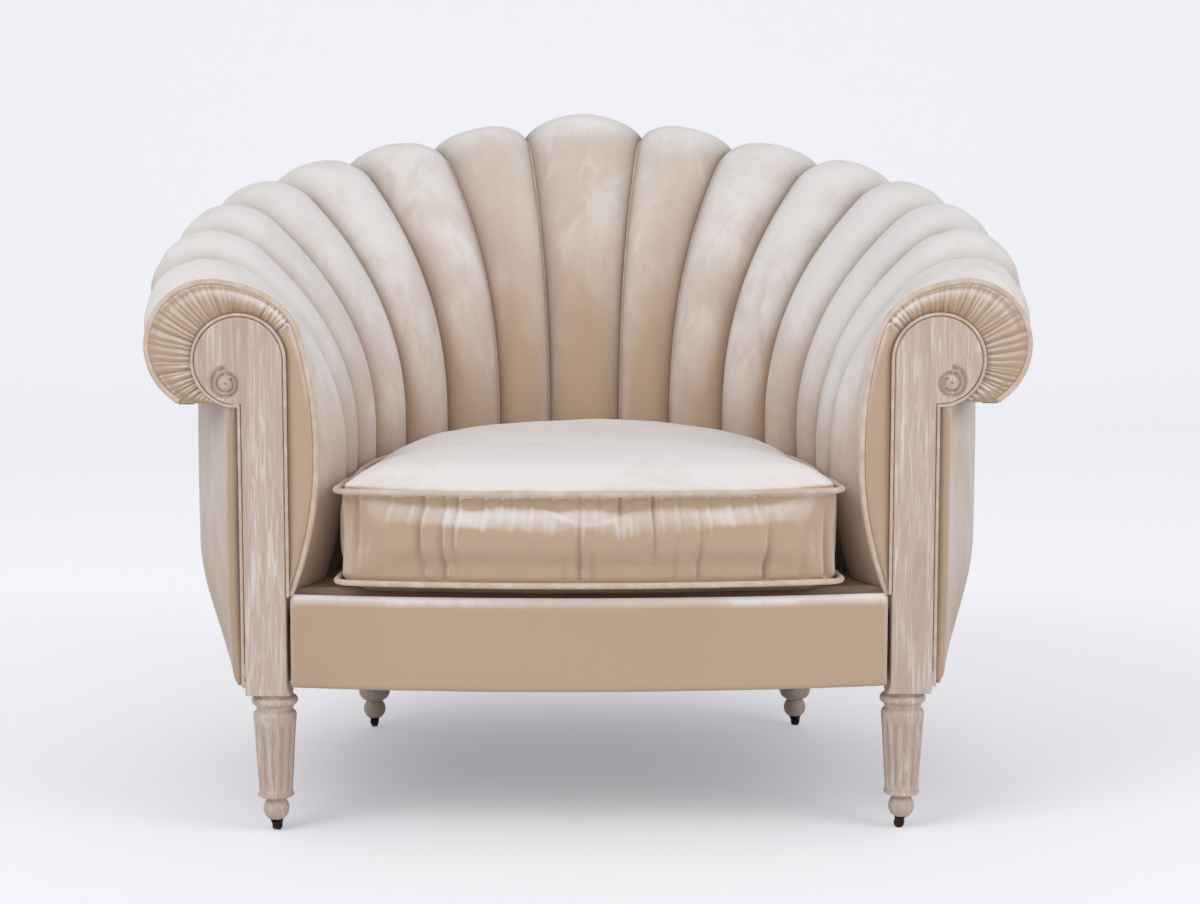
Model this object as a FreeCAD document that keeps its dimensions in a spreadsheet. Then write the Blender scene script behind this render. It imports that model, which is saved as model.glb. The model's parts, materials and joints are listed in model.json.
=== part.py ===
"""Scallop back armchair with scrolled limed oak posts, fluted legs and small swivel casters.

Millimetres, X to the right as seen from the front, Y to the back, Z up. The origin lies on
the floor under the middle of the chair. Depths are measured back from the front of the arm posts.
"""
import FreeCAD, Part
import math
import os

import Sketcher
from FreeCAD import Placement, Rotation, Vector

SIZES = [
    ("seat_half_width", 310, "half the seat between the arms, at the valleys of the channels"),
    ("seat_depth", 620, "from the posts to the inside of the back at seat level"),
    ("seat_front_half", 339, "half the mouth of the seat at the arm fronts"),
    ("seat_turn_depth", 150, "where the arms begin to turn at seat level"),
    ("seat_power", 2.2, "squareness of the seat in plan"),
    ("seat_spread_power", 1.15, "how the channels widen towards the arms at seat level"),
    ("crest_half_width", 487, "half the width between the arm rolls, at their centres"),
    ("crest_depth", 758, "from the posts to the centre of the back roll"),
    ("crest_front_half", 452, "half the width between the arm rolls at the front"),
    ("crest_turn_depth", 250, "where the arm rolls begin to turn"),
    ("crest_power", 2.5, "squareness of the crest in plan"),
    ("shell_half_width", 508, "half the width over the outside panels"),
    ("shell_depth", 790, "from the posts to the outside of the back panel"),
    ("panel_post_gap", 1, "between a post and the outside panel beside it"),
    ("shell_power", 2.6, "squareness of the outside panels in plan"),
    ("shell_turn_depth", 320, "where the outside panels begin to turn"),
    ("base_half_width", 454, "half the width over the outside panels at the bottom edge"),
    ("base_depth", 742, "from the posts to the bottom edge of the back panel"),
    ("shell_tuck_height", 340, "below this height the outside panels curve under"),
    ("panel_top_gap", 4, "top of an outside panel below the tail of the roll"),
    ("panel_thickness", 12, "padded outside panels"),
    ("crest_height_front", 676, "top of the arm roll at the front"),
    ("crest_height_back", 892, "top of the middle channel"),
    ("crest_rise_power", 1.18, "how the crest climbs from the arms to the back"),
    ("roll_radius_front", 80, "arm roll at the front"),
    ("roll_radius_back", 57.5, "roll along the top of the back"),
    ("roll_swell_front", 115, "reach of the arm roll towards the seat"),
    ("roll_swell_back", 63, "reach of the back roll towards the seat"),
    ("roll_tail_angle_front", 60, "degrees that the arm roll turns under past its outermost line"),
    ("roll_tail_angle_back", 40, "degrees that the back roll turns under past its outermost line"),
    ("lean_power", 2.3, "how late the inside face leans out into the roll"),
    ("lean_start", 453, "height where the inside face begins to lean out"),
    ("channel_pairs", 7, "channels each side of the middle one"),
    ("centre_half_seat", 50, "half the middle channel at seat level"),
    ("centre_half_crest", 88, "half the middle channel at the crest"),
    ("channel_crown_seat", 12, "how far a channel swells from its valleys at the seat"),
    ("channel_crown_crest", 22, "how far a channel swells from its valleys over the roll"),
    ("channel_padding", 18, "padding behind the valleys"),
    ("channel_seam", 0.6, "seam between two channels"),
    ("arm_undercut", 30, "how far the arm front draws back to the post below the seat"),
    ("soft_clearance", 0.3, "between a soft piece and its neighbour"),
    ("leg_height", 173, "floor to the underside of the seat frame"),
    ("leg_across", 384, "leg axis from the middle of the chair"),
    ("leg_set_back", 28, "front leg axis behind the front of the post"),
    ("rear_leg_across", 307, "rear leg axis from the middle of the chair"),
    ("rear_leg_depth", 585, "rear leg axis behind the front of the posts"),
    ("leg_tenon_radius", 10, "turned tenon on top of a leg"),
    ("leg_tenon_length", 42, "turned tenon on top of a leg"),
    ("leg_tenon_fit", 0.1, "between the tenon and its bore"),
    ("tenon_end_gap", 1, "glue space above a tenon"),
    ("leg_ring_radius", 28, "ring under the post"),
    ("leg_ring_height", 20.5, "ring under the post"),
    ("leg_ring_round", 5, "slope on the edges of the ring and of the shoulder"),
    ("leg_neck_radius", 22.5, "neck between ring and shoulder"),
    ("leg_neck_height", 1.5, "neck between ring and shoulder"),
    ("leg_shoulder_radius", 26, "top of the fluted taper"),
    ("leg_shoulder_height", 13, "plain shoulder above the flutes"),
    ("leg_taper_radius", 20.5, "foot of the fluted taper"),
    ("leg_taper_height", 47.5, "height of the foot of the taper above the floor"),
    ("leg_lip_radius", 21.8, "small lip under the flutes"),
    ("leg_lip_height", 4, "small lip under the flutes"),
    ("leg_throat_radius", 11.5, "throat above the ball"),
    ("leg_throat_height", 38.5, "throat above the ball"),
    ("leg_ball_radius", 15.6, "ball at the foot of a leg"),
    ("leg_ball_flat", 9.5, "flat under the ball that the caster sits on"),
    ("flute_margin", 5, "plain wood above and below the flutes"),
    ("flute_count", 12, "flutes round a front leg"),
    ("flute_depth", 1.6, "depth of a flute"),
    ("flute_radius", 5, "radius of a flute"),
    ("rear_block_radius", 24, "top of a rear leg under the frame"),
    ("rear_neck_radius", 18, "neck above the bun of a rear leg"),
    ("rear_neck_height", 4, "neck above the bun of a rear leg"),
    ("rear_bun_radius", 22, "bun above the ball of a rear leg"),
    ("rear_bun_depth", 24, "bun above the ball of a rear leg"),
    ("rear_bun_height", 64, "top of the bun of a rear leg"),
    ("post_inner", 366, "inner edge of a post from the middle of the chair"),
    ("post_width", 50, "width of a post"),
    ("post_depth", 39.7, "front to back of a post"),
    ("post_foot_flare", 5, "how far the foot of a post spreads over the leg ring"),
    ("post_foot_height", 12, "height of the spreading foot of a post"),
    ("scroll_radius", 52.5, "round head of a post"),
    ("scroll_height", 578.5, "centre of the round head of a post"),
    ("scroll_drop", 51.5, "ledge below the centre of the round head"),
    ("volute_radius", 17, "outer turn of the carved volute"),
    ("volute_across", 19, "volute centre outside the scroll centre"),
    ("volute_drop", 27.5, "volute centre below the scroll centre"),
    ("volute_quarters", 6, "quarter turns of the volute"),
    ("volute_draw_in", 0.84, "share of its reach that a quarter turn keeps"),
    ("volute_groove", 3.2, "width of the carved groove"),
    ("volute_sink", 3, "depth of the carved groove"),
    ("gimp_width", 4.5, "braid round a post"),
    ("gimp_thickness", 3, "braid round a post"),
    ("gimp_set_back", 3, "braid behind the front of a post"),
    ("facing_set_back", 7, "arm facing behind the front of a post"),
    ("ruche_set_back", 2, "gathered ring behind the front of a post"),
    ("fold_across", 45, "where the gathered ring begins, inside the scroll centre"),
    ("fold_height", 614, "where the gathered ring begins on the seat side"),
    ("welt_radius", 3.6, "piping"),
    ("frame_lift", 12, "seat frame above the feet of the posts"),
    ("rail_height", 91, "seat rails"),
    ("rail_thickness", 28, "seat rails"),
    ("rail_inset", 14, "seat rails inside the foot of the outside panels"),
    ("front_bow", 33, "how far the front of the seat bows forward"),
    ("apron_thickness", 12, "padded front apron"),
    ("apron_height", 112.5, "padded front apron"),
    ("apron_drop", 2, "apron below the seat frame"),
    ("apron_edge", 9, "rounded upper edge of the apron"),
    ("apron_hem", 3, "turned lower edge of the apron"),
    ("top_rail_side", 20, "square rail inside the rolls"),
    ("upright_thickness", 14, "uprights between seat rails and top rail"),
    ("upright_width", 44, "uprights between seat rails and top rail"),
    ("back_upright_share", 0.267, "place of a back upright from the middle of the back to a post"),
    ("arm_upright_share", 0.72, "place of an arm upright from the middle of the back to a post"),
    ("block_side", 64, "rear corner block"),
    ("block_height", 60, "corner blocks"),
    ("brace_length", 80, "front corner brace along each rail"),
    ("web_width", 50, "woven webbing band"),
    ("web_thickness", 1.6, "woven webbing band"),
    ("web_bands_long", 7, "bands from front to back"),
    ("web_bands_cross", 6, "bands from side to side"),
    ("web_landing", 12, "how far a band reaches over a rail"),
    ("deck_thickness", 18, "felt and fabric over the webbing"),
    ("deck_inset", 46, "edge of the deck inside the foot of the outside panels"),
    ("cover_thickness", 1.5, "dust cover under the seat"),
    ("cover_leg_gap", 2, "cut-out of the dust cover round a leg"),
    ("cover_inset", 14, "dust cover inside the foot of the outside panels"),
    ("cushion_front_half", 305, "half the front of the seat cushion"),
    ("cushion_bow", 38, "cushion front before the posts"),
    ("cushion_side_depth", 6, "cushion front corners before the posts"),
    ("cushion_corner", 22, "rounded front corner of the cushion"),
    ("cushion_lower_seam", 313, "height of the lower piping"),
    ("cushion_upper_seam", 423, "height of the upper piping"),
    ("cushion_crown_power", 7, "how flat the cushion top is"),
    ("cushion_crown", 33, "rise of the cushion top above its piping"),
    ("cushion_draw_in", 3, "how far the sides draw in between the pipings"),
    ("caster_height", 15.2, "floor to the ball of a leg"),
    ("caster_wheel_radius", 6.4, "caster wheel"),
    ("caster_wheel_width", 7.6, "caster wheel"),
    ("caster_axle_radius", 1.2, "riveted axle"),
    ("caster_rivet", 0.5, "riveted end of the axle"),
    ("caster_running_fit", 0.06, "between a moving part of a caster and its bearing"),
    ("caster_side_play", 0.3, "between wheel and fork"),
    ("caster_arm_thickness", 1.5, "fork arms"),
    ("caster_arm_width", 5, "fork arms"),
    ("caster_crown_length", 13, "top of the bent fork strap across the wheel's travel"),
    ("caster_crown_thickness", 1, "top of the bent fork strap"),
    ("caster_trail", 2.2, "wheel axis beside the swivel axis"),
    ("caster_stem_radius", 2.6, "swivel stem"),
    ("caster_stem_length", 15, "swivel stem above the fork"),
    ("socket_wall", 1, "pressed socket tube"),
    ("socket_length", 18, "pressed socket tube"),
    ("socket_flange_radius", 8.8, "flange under the ball"),
    ("socket_flange_thickness", 0.8, "flange under the ball"),
    ("socket_fit", 0.05, "between the socket tube and the leg"),
]
CASTER_TURNS = {"front_left": 70.0, "front_right": 168.0, "rear_left": 103.0, "rear_right": 55.0}

doc = FreeCAD.newDocument("scallop_back_chair")
sheet = doc.addObject("Spreadsheet::Sheet", "Sizes")
for row, (alias, amount, note) in enumerate(SIZES, start=1):
    sheet.set(f"A{row}", str(amount))
    sheet.setAlias(f"A{row}", alias)
    sheet.set(f"B{row}", note)
doc.recompute()

nodes = {}


def size(alias):
    """One driving size from the sheet."""
    return float(sheet.get(alias))


def reckon(text):
    """Work out an expression of driving sizes."""
    return float(sheet.evalExpression(text.replace("Sizes.", "")))


def mix(start, end, share):
    return start + (end - start) * share


def keep(label, thing):
    """Name a finished sub-part, which also names its file."""
    thing.Label = label
    nodes[label] = thing
    return thing


def keep_shape(label, shape):
    """Hold a shape worked out here as a sub-part of the document."""
    thing = doc.addObject("Part::Feature", label)
    thing.Shape = shape
    return keep(label, thing)


# Plan curves

FRONT = -(size("crest_depth") + size("roll_radius_back") - size("cushion_bow") - size("welt_radius")) / 2
CHANNEL_FRONT = size("post_depth") + size("soft_clearance")
PAIRS = int(size("channel_pairs"))
FRONT_EDGE = PAIRS + 0.5


class PlanCurve:
    """Half a horseshoe seen from above, measured from the middle of the back to the arm front."""

    def __init__(self, half_width, depth, front_half, turn_depth, power, front=0.0, steps=60):
        self.spots = []
        for step in range(steps + 1):
            angle = math.pi / 2 * step / steps
            across = half_width * math.sin(angle) ** (2 / power)
            back = turn_depth + (depth - turn_depth) * math.cos(angle) ** (2 / power)
            self.spots.append((across, back))
        for step in range(1, steps // 2 + 1):
            share = step / (steps // 2)
            across = half_width + (front_half - half_width) * share ** 2
            self.spots.append((across, mix(turn_depth, front, share)))
        self.ways = [0.0]
        for before, after in zip(self.spots, self.spots[1:]):
            self.ways.append(self.ways[-1] + math.dist(before, after))
        self.length = self.ways[-1]

    def at(self, way):
        """Across and depth at a distance along the curve; past its ends it runs on straight."""
        index = 1
        while index < len(self.ways) - 1 and self.ways[index] < way:
            index += 1
        before, after = self.spots[index - 1], self.spots[index]
        share = (way - self.ways[index - 1]) / (self.ways[index] - self.ways[index - 1])
        return Vector(mix(before[0], after[0], share), mix(before[1], after[1], share), 0)

    def outward(self, way, reach=8.0):
        """Level direction square to the curve, away from the seat."""
        if way < 1e-6:
            return Vector(0, 1, 0)
        run = self.at(way + reach) - self.at(max(way - reach, 0.0))
        return Vector(-run.y, run.x, 0).normalize()

    def offset(self, way, out):
        return self.at(way) + self.outward(way) * out


def mirrored(spot, side):
    """A spot measured from the posts, on one side of the chair, as a place in the chair's frame."""
    return Vector(side * spot.x, FRONT + spot.y, spot.z)


seat_curve = PlanCurve(size("seat_half_width"), size("seat_depth"), size("seat_front_half"),
                       size("seat_turn_depth"), size("seat_power"), CHANNEL_FRONT)
crest_curve = PlanCurve(size("crest_half_width"), size("crest_depth"), size("crest_front_half"),
                        size("crest_turn_depth"), size("crest_power"), CHANNEL_FRONT)
SHELL_FRONT_HALF = (size("post_inner") + size("post_width") + size("panel_post_gap")
                    + size("panel_thickness"))
shell_curve = PlanCurve(size("shell_half_width"), size("shell_depth"), SHELL_FRONT_HALF,
                        size("shell_turn_depth"), size("shell_power"))
base_curve = PlanCurve(size("base_half_width"), size("base_depth"), SHELL_FRONT_HALF,
                       size("shell_turn_depth"), size("shell_power"))


def way_along(curve, place, centre_half=None, power=1.0):
    """Distance along a curve of a place counted in channels from the middle of the back."""
    if centre_half is None:
        return curve.length * abs(place) / FRONT_EDGE
    if abs(place) <= 0.5:
        return 2 * abs(place) * centre_half
    share = (abs(place) - 0.5) / PAIRS
    return centre_half + share ** power * (curve.length - centre_half)


def seat_way(place):
    return way_along(seat_curve, place, size("centre_half_seat"), size("seat_spread_power"))


def side_of(place):
    return -1 if place < 0 else 1


# The line of the inside face and the roll, up, over and down, at one place of the horseshoe

FRAME_FOOT = size("leg_height") + size("frame_lift")
FRAME_TOP = FRAME_FOOT + size("rail_height")
DECK_TOP = FRAME_TOP + 2 * size("web_thickness") + size("deck_thickness")
CHANNEL_FOOT = DECK_TOP + size("soft_clearance")


def crest_height(share):
    drop = size("crest_height_back") - size("crest_height_front")
    return size("crest_height_back") - drop * share ** size("crest_rise_power")


class Section:
    """Valley line of the upholstery at a place: 0 to 1 is the inside face, 1 to 2 the swell of the
    roll towards the seat and 2 to 3 the roll from its top to its tail."""

    def __init__(self, place):
        share = abs(place) / FRONT_EDGE
        self.share = share
        self.side = side_of(place)
        self.foot = seat_curve.at(seat_way(place))
        self.crest = crest_curve.at(way_along(crest_curve, place, size("centre_half_crest")))
        run = self.crest - self.foot
        self.reach = run.Length
        self.outward = run.normalize()
        crown = size("channel_crown_crest")
        self.radius = mix(size("roll_radius_back"), size("roll_radius_front"), share) - crown
        self.swell = mix(size("roll_swell_back"), size("roll_swell_front"), share) - crown
        self.centre = crest_height(share) - crown - self.radius
        self.tail = math.radians(mix(size("roll_tail_angle_back"), size("roll_tail_angle_front"), share))
        self.flare = self.find_flare()
        self.meet_out = self.reach - self.swell * math.cos(self.flare)
        self.meet_up = self.centre + self.radius * math.sin(self.flare)

    def find_flare(self):
        """Angle on the swell where the leaning face runs into it without a kink."""
        low, high = 0.0, math.radians(85)
        for _ in range(40):
            angle = (low + high) / 2
            climb = self.centre + self.radius * math.sin(angle) - size("lean_start")
            out = self.reach - self.swell * math.cos(angle)
            if self.swell / self.radius * math.tan(angle) * climb < size("lean_power") * out:
                low = angle
            else:
                high = angle
        return low

    def line(self, stage):
        """Out, up and the outward facing direction (out, up) at a stage from 0 to 3."""
        if stage <= 1:
            up = mix(CHANNEL_FOOT, self.meet_up, stage)
            start = size("lean_start")
            if up > start:
                share = (up - start) / (self.meet_up - start)
                power = size("lean_power")
                out = self.meet_out * share ** power
                slope = power * self.meet_out / (self.meet_up - start) * share ** (power - 1)
            else:
                depth = (start - up) / (start - CHANNEL_FOOT)
                out = size("arm_undercut") * self.share * depth ** 2
                slope = -2 * size("arm_undercut") * self.share * depth / (start - CHANNEL_FOOT)
            scale = math.hypot(1, slope)
            return out, up, -1 / scale, slope / scale
        if stage <= 2:
            angle = mix(self.flare, math.pi / 2, stage - 1)
            out = self.reach - self.swell * math.cos(angle)
            up = self.centre + self.radius * math.sin(angle)
            run_out, run_up = self.swell * math.sin(angle), self.radius * math.cos(angle)
            scale = math.hypot(run_out, run_up)
            return out, up, -run_up / scale, run_out / scale
        angle = mix(math.pi / 2, -self.tail, stage - 2)
        out = self.reach + self.radius * math.cos(angle)
        up = self.centre + self.radius * math.sin(angle)
        return out, up, math.cos(angle), math.sin(angle)

    def spot(self, stage, lift=0.0):
        """Place at a stage, raised from the valley line by a lift."""
        out, up, face_out, face_up = self.line(stage)
        level = self.foot + self.outward * (out + face_out * lift)
        return mirrored(Vector(level.x, level.y, up + face_up * lift), self.side)

    def tail_height(self):
        """Lowest point of the roll where it turns under."""
        return self.centre - (self.radius + size("channel_crown_crest")) * math.sin(self.tail)


def crown_at(stage):
    """How far a channel swells at a stage of its line."""
    low, high = size("channel_crown_seat"), size("channel_crown_crest")
    if stage <= 1:
        return mix(low, mix(low, high, 0.4), stage)
    if stage <= 2:
        return mix(mix(low, high, 0.4), high, stage - 1)
    return high


# Plain solids from outlines

def closed_wire(spots):
    return Part.makePolygon(spots + spots[:1])


def planar(spots):
    """Drop the corners of an outline onto their mean plane."""
    middle = sum(spots, Vector()) * (1 / len(spots))
    normal = Vector()
    for before, after in zip(spots, spots[1:] + spots[:1]):
        normal += (before - middle).cross(after - middle)
    normal.normalize()
    return [spot - normal * normal.dot(spot - middle) for spot in spots]


def facets(rings):
    """Solid over rings of corners, with flat triangles from each ring to the next."""
    faces = [Part.Face(closed_wire(rings[0])), Part.Face(closed_wire(rings[-1]))]
    for ring, after in zip(rings, rings[1:]):
        for index in range(len(ring)):
            before = index - 1
            faces.append(Part.Face(closed_wire([ring[before], ring[index], after[index]])))
            faces.append(Part.Face(closed_wire([ring[before], after[index], after[before]])))
    shell = Part.makeShell(faces)
    shell.sewShape()
    solid = Part.makeSolid(shell)
    if solid.Volume < 0:
        solid.reverse()
    return solid


def strip(rings):
    """Solid over rings of corners whose two end rings are first made flat."""
    return facets([planar(rings[0])] + rings[1:-1] + [planar(rings[-1])])


def places_between(start, end, steps):
    return [mix(start, end, step / steps) for step in range(steps + 1)]


def biggest(shape):
    """The largest solid of a cut shape."""
    return max(shape.Solids, key=lambda solid: solid.Volume)


def on_side(shape, side):
    if side < 0:
        return shape.mirror(Vector(0, 0, 0), Vector(1, 0, 0))
    return shape


def block_between(across, depth, up):
    """Box between two limits each way, its depths measured from the front of the posts."""
    return Part.makeBox(across[1] - across[0], depth[1] - depth[0], up[1] - up[0],
                        Vector(across[0], FRONT + depth[0], up[0]))


def stations(start, end):
    """Places from a start to an end, in steps of half a channel."""
    steps = max(1, math.floor(2 * abs(end - start)))
    turn = 1 if end > start else -1
    places = [start + turn * step / 2 for step in range(steps + 1)]
    if abs(places[-1] - end) > 0.05:
        places.append(end)
    return places


# Channels

FACE_STAGES = [0, 0.36, 0.62, 0.82, 1]
SWELL_STAGES = [1.35, 1.7, 2]
STAGES = FACE_STAGES + SWELL_STAGES + [2 + step / 7 for step in range(1, 8)]
DOME = [(-1, 0.0), (-0.55, 0.78), (0, 1.0), (0.55, 0.78), (1, 0.0)]


def channel(place):
    """One stuffed channel, from the seat up the inside face and over the roll."""
    pitch = (seat_curve.length - size("centre_half_seat")) / PAIRS
    half = 0.5 - size("channel_seam") / 2 / pitch
    padding = size("channel_padding")
    lines = []
    for across, swell in DOME:
        open_edge = abs(place) == PAIRS and across * place > 0
        lines.append((Section(place + half * across), 1.0 if open_edge else swell))
    rings = []
    for stage in STAGES:
        spots = [section.spot(stage, crown_at(stage) * swell) for section, swell in lines]
        spots += [lines[-1][0].spot(stage, -padding), lines[0][0].spot(stage, -padding)]
        if stage == STAGES[0]:
            spots = [Vector(spot.x, spot.y, CHANNEL_FOOT) for spot in spots]
        rings.append(spots)
    return strip(rings)


def channel_name(place):
    if place == 0:
        return "channel_middle"
    return f"channel_{'left' if place < 0 else 'right'}_{abs(place)}"


for place in range(-PAIRS, PAIRS + 1):
    keep_shape(channel_name(place), channel(place))


# Strips that follow a plan curve: rails, panels and the rails inside the rolls

def rail_outline(place, out_near, out_far, low, high):
    """Upright rectangle across a seat rail at a place."""
    way = way_along(base_curve, place)
    near, far = base_curve.offset(way, out_near), base_curve.offset(way, out_far)
    corners = [(near, low), (far, low), (far, high), (near, high)]
    return [mirrored(Vector(spot.x, spot.y, up), side_of(place)) for spot, up in corners]


RAIL_OUT = -size("rail_inset")
RAIL_IN = RAIL_OUT - size("rail_thickness")
BACK_RAIL_END = 3.5


def rail(start, end):
    return strip([rail_outline(place, RAIL_IN, RAIL_OUT, FRAME_FOOT, FRAME_TOP)
                        for place in stations(start, end)])


def rail_front_place():
    """Place where a side rail meets the back of its post."""
    share = (base_curve.length - size("post_depth") - size("soft_clearance")) / base_curve.length
    return FRONT_EDGE * share


keep_shape("seat_rail_back", rail(-BACK_RAIL_END, BACK_RAIL_END))
keep_shape("seat_rail_right", rail(BACK_RAIL_END, rail_front_place()))
keep_shape("seat_rail_left", rail(-BACK_RAIL_END, -rail_front_place()))


def panel_outline(place):
    """Upright outline across an outside panel: straight above, curving under to the seat frame."""
    shell_way, base_way = way_along(shell_curve, place), way_along(base_curve, place)
    tuck = size("shell_tuck_height")
    top = Section(place).tail_height() - size("panel_top_gap")
    heights = [top, tuck, mix(tuck, FRAME_FOOT, 0.45), mix(tuck, FRAME_FOOT, 0.8), FRAME_FOOT]

    def wall(out):
        spots = []
        for up in heights:
            share = max(0.0, (tuck - up) / (tuck - FRAME_FOOT)) ** 2
            shell, base = shell_curve.offset(shell_way, out), base_curve.offset(base_way, out)
            level = shell * (1 - share) + base * share
            spots.append(mirrored(Vector(level.x, level.y, up), side_of(place)))
        return spots

    return wall(0.0) + wall(-size("panel_thickness"))[::-1]


PANEL_SEAM = 3.0
PANEL_FRONT = FRONT_EDGE * (1 - (size("gimp_set_back") + size("gimp_thickness")) / base_curve.length)


def side_panel(side):
    """Outside panel of an arm, notched round the head of its post."""
    panel = strip([panel_outline(side * place) for place in stations(PANEL_SEAM, PANEL_FRONT)])
    beside = post_blank(size("soft_clearance"), 0, size("post_depth") + size("soft_clearance"))
    return biggest(panel.cut(on_side(beside, side)))


def top_rail_outline(place):
    """Square across the rail inside a roll."""
    section = Section(place)
    half = size("top_rail_side") / 2
    corners = [(-half, -half), (half, -half), (half, half), (-half, half)]
    spots = []
    for out, up in corners:
        level = section.foot + section.outward * (section.reach + out)
        spots.append(mirrored(Vector(level.x, level.y, section.centre + up), section.side))
    return spots


def top_rail(start, end):
    places = places_between(start, end, round(abs(end - start)))
    return strip([top_rail_outline(place) for place in places])


keep_shape("top_rail_back", top_rail(-BACK_RAIL_END, BACK_RAIL_END))
keep_shape("top_rail_right", top_rail(BACK_RAIL_END, FRONT_EDGE))
keep_shape("top_rail_left", top_rail(-BACK_RAIL_END, -FRONT_EDGE))


def upright(place):
    """Board from a seat rail up to the rail inside the roll, shaped to its underside."""
    section = Section(place)
    base_way = way_along(base_curve, place)
    thickness = size("upright_thickness")
    foot = base_curve.offset(base_way, RAIL_OUT - thickness / 2)
    head = section.foot + section.outward * section.reach
    outlines = []
    for middle, up in ((foot, FRAME_TOP), (head, section.centre)):
        out = base_curve.outward(base_way) * (thickness / 2)
        along = Vector(-out.y, out.x, 0).normalize() * (size("upright_width") / 2)
        corners = [middle - out - along, middle + out - along, middle + out + along, middle - out + along]
        outlines.append([mirrored(Vector(spot.x, spot.y, up), side_of(place)) for spot in corners])
    rails = [nodes["top_rail_" + name].Shape for name in ("back", "left", "right")]
    return biggest(strip(outlines).cut(rails))


def both_sides(maker, place):
    return Part.makeCompound([maker(place), maker(-place)])


keep_shape("back_uprights", both_sides(upright, FRONT_EDGE * size("back_upright_share")))
keep_shape("arm_uprights", both_sides(upright, FRONT_EDGE * size("arm_upright_share")))


# Level sheets bounded by the foot of the outside panels

def level_plate(inset, low, high, front):
    """Plate inside the foot of the outside panels, from a straight front edge back."""
    right = []
    for place in stations(FRONT_EDGE, 0):
        spot = base_curve.offset(way_along(base_curve, place), -inset)
        if spot.y > front + 1:
            right.append(spot)
    right.insert(0, Vector(right[0].x, front, 0))
    left = [Vector(-spot.x, spot.y, 0) for spot in right[-2::-1]]
    spots = [Vector(spot.x, FRONT + spot.y, low) for spot in right + left]
    return Part.Face(closed_wire(spots)).extrude(Vector(0, 0, high - low))


WEB_LOW = FRAME_TOP
WEB_TOP = FRAME_TOP + 2 * size("web_thickness")
FRONT_RAIL_BACK = size("post_depth")


def depth_on_curve(curve, inset, across):
    """Depth where an inset copy of a curve crosses a line from front to back."""
    way = 0.0
    while curve.offset(way, -inset).x < across:
        way += 2.0
    return curve.offset(way, -inset).y


def across_on_curve(curve, inset, depth):
    """Distance from the middle where an inset copy of a curve crosses a line from side to side."""
    way = 0.0
    while curve.offset(way, -inset).y > depth:
        way += 2.0
    return curve.offset(way, -inset).x


def webbing():
    """Bands from front to back with bands from side to side laid over them."""
    landing = size("rail_inset") + size("rail_thickness") - size("web_landing")
    thickness, width = size("web_thickness"), size("web_width")
    long_count, cross_count = int(size("web_bands_long")), int(size("web_bands_cross"))
    front = FRONT_RAIL_BACK - size("web_landing")
    bands = []
    pitch = 2 * (size("seat_half_width") - width / 2) / (long_count - 1)
    for index in range(long_count):
        across = pitch * (index - (long_count - 1) / 2)
        back = depth_on_curve(base_curve, landing, abs(across) + width / 2)
        bands.append(Part.makeBox(width, back - front, thickness,
                                  Vector(across - width / 2, FRONT + front, WEB_LOW)))
    room = depth_on_curve(base_curve, landing, size("seat_half_width") / 2) - FRONT_RAIL_BACK - width
    for index in range(cross_count):
        depth = FRONT_RAIL_BACK + width + (room - width) * index / (cross_count - 1)
        half = across_on_curve(base_curve, landing, depth + width / 2)
        bands.append(Part.makeBox(2 * half, width, thickness,
                                  Vector(-half, FRONT + depth - width / 2, WEB_LOW + thickness)))
    return Part.makeCompound(bands)


keep_shape("seat_webbing", webbing())
keep_shape("seat_deck", level_plate(size("deck_inset"), WEB_TOP, DECK_TOP,
                                    FRONT_RAIL_BACK + size("soft_clearance")))


def leg_spots():
    """Axis of each leg on the floor, by name."""
    front_y = FRONT + size("leg_set_back")
    rear_y = FRONT + size("rear_leg_depth")
    spots = {}
    for name, side in (("left", -1), ("right", 1)):
        spots["front_" + name] = Vector(side * size("leg_across"), front_y, 0)
        spots["rear_" + name] = Vector(side * size("rear_leg_across"), rear_y, 0)
    return spots


LEG_SPOTS = leg_spots()


def dust_cover():
    """Thin cloth under the frame, cut out square round the legs."""
    low = FRAME_FOOT - size("cover_thickness")
    cloth = level_plate(size("cover_inset"), low, FRAME_FOOT, size("post_depth"))
    reach = size("leg_ring_radius") + size("cover_leg_gap")
    for name, spot in LEG_SPOTS.items():
        depth = spot.y - FRONT
        cloth = cloth.cut(block_between((spot.x - reach, spot.x + reach), (depth - reach, depth + reach),
                                        (low, FRAME_FOOT)))
    return biggest(cloth)


keep_shape("dust_cover", dust_cover())


# Sketches bound to the sheet

def new_body(name):
    return doc.addObject("PartDesign::Body", name)


def sketch_on(body, role, name):
    """Empty sketch on one of a body's own origin planes."""
    sketch = body.newObject("Sketcher::SketchObject", name)
    plane = next(item for item in body.Origin.OriginFeatures if item.Role == role)
    sketch.AttachmentSupport = [(plane, "")]
    sketch.MapMode = "FlatFace"
    return sketch


def arc_between(start, end, radius, turn):
    """Arc under a half circle; its centre is left of the way from start to end when turn is 1."""
    chord = end - start
    rise = math.sqrt(max(radius ** 2 - (chord.Length / 2) ** 2, 0.0))
    left = Vector(-chord.y, chord.x, 0).normalize()
    centre = (start + end) * 0.5 + left * (rise * turn)
    angles = [math.atan2(spot.y - centre.y, spot.x - centre.x) for spot in (start, end)]
    circle = Part.Circle(centre, Vector(0, 0, 1), radius)
    if turn > 0:
        return Part.ArcOfCircle(circle, angles[0], angles[1]), 1, 2
    return Part.ArcOfCircle(circle, angles[1], angles[0]), 2, 1


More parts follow.
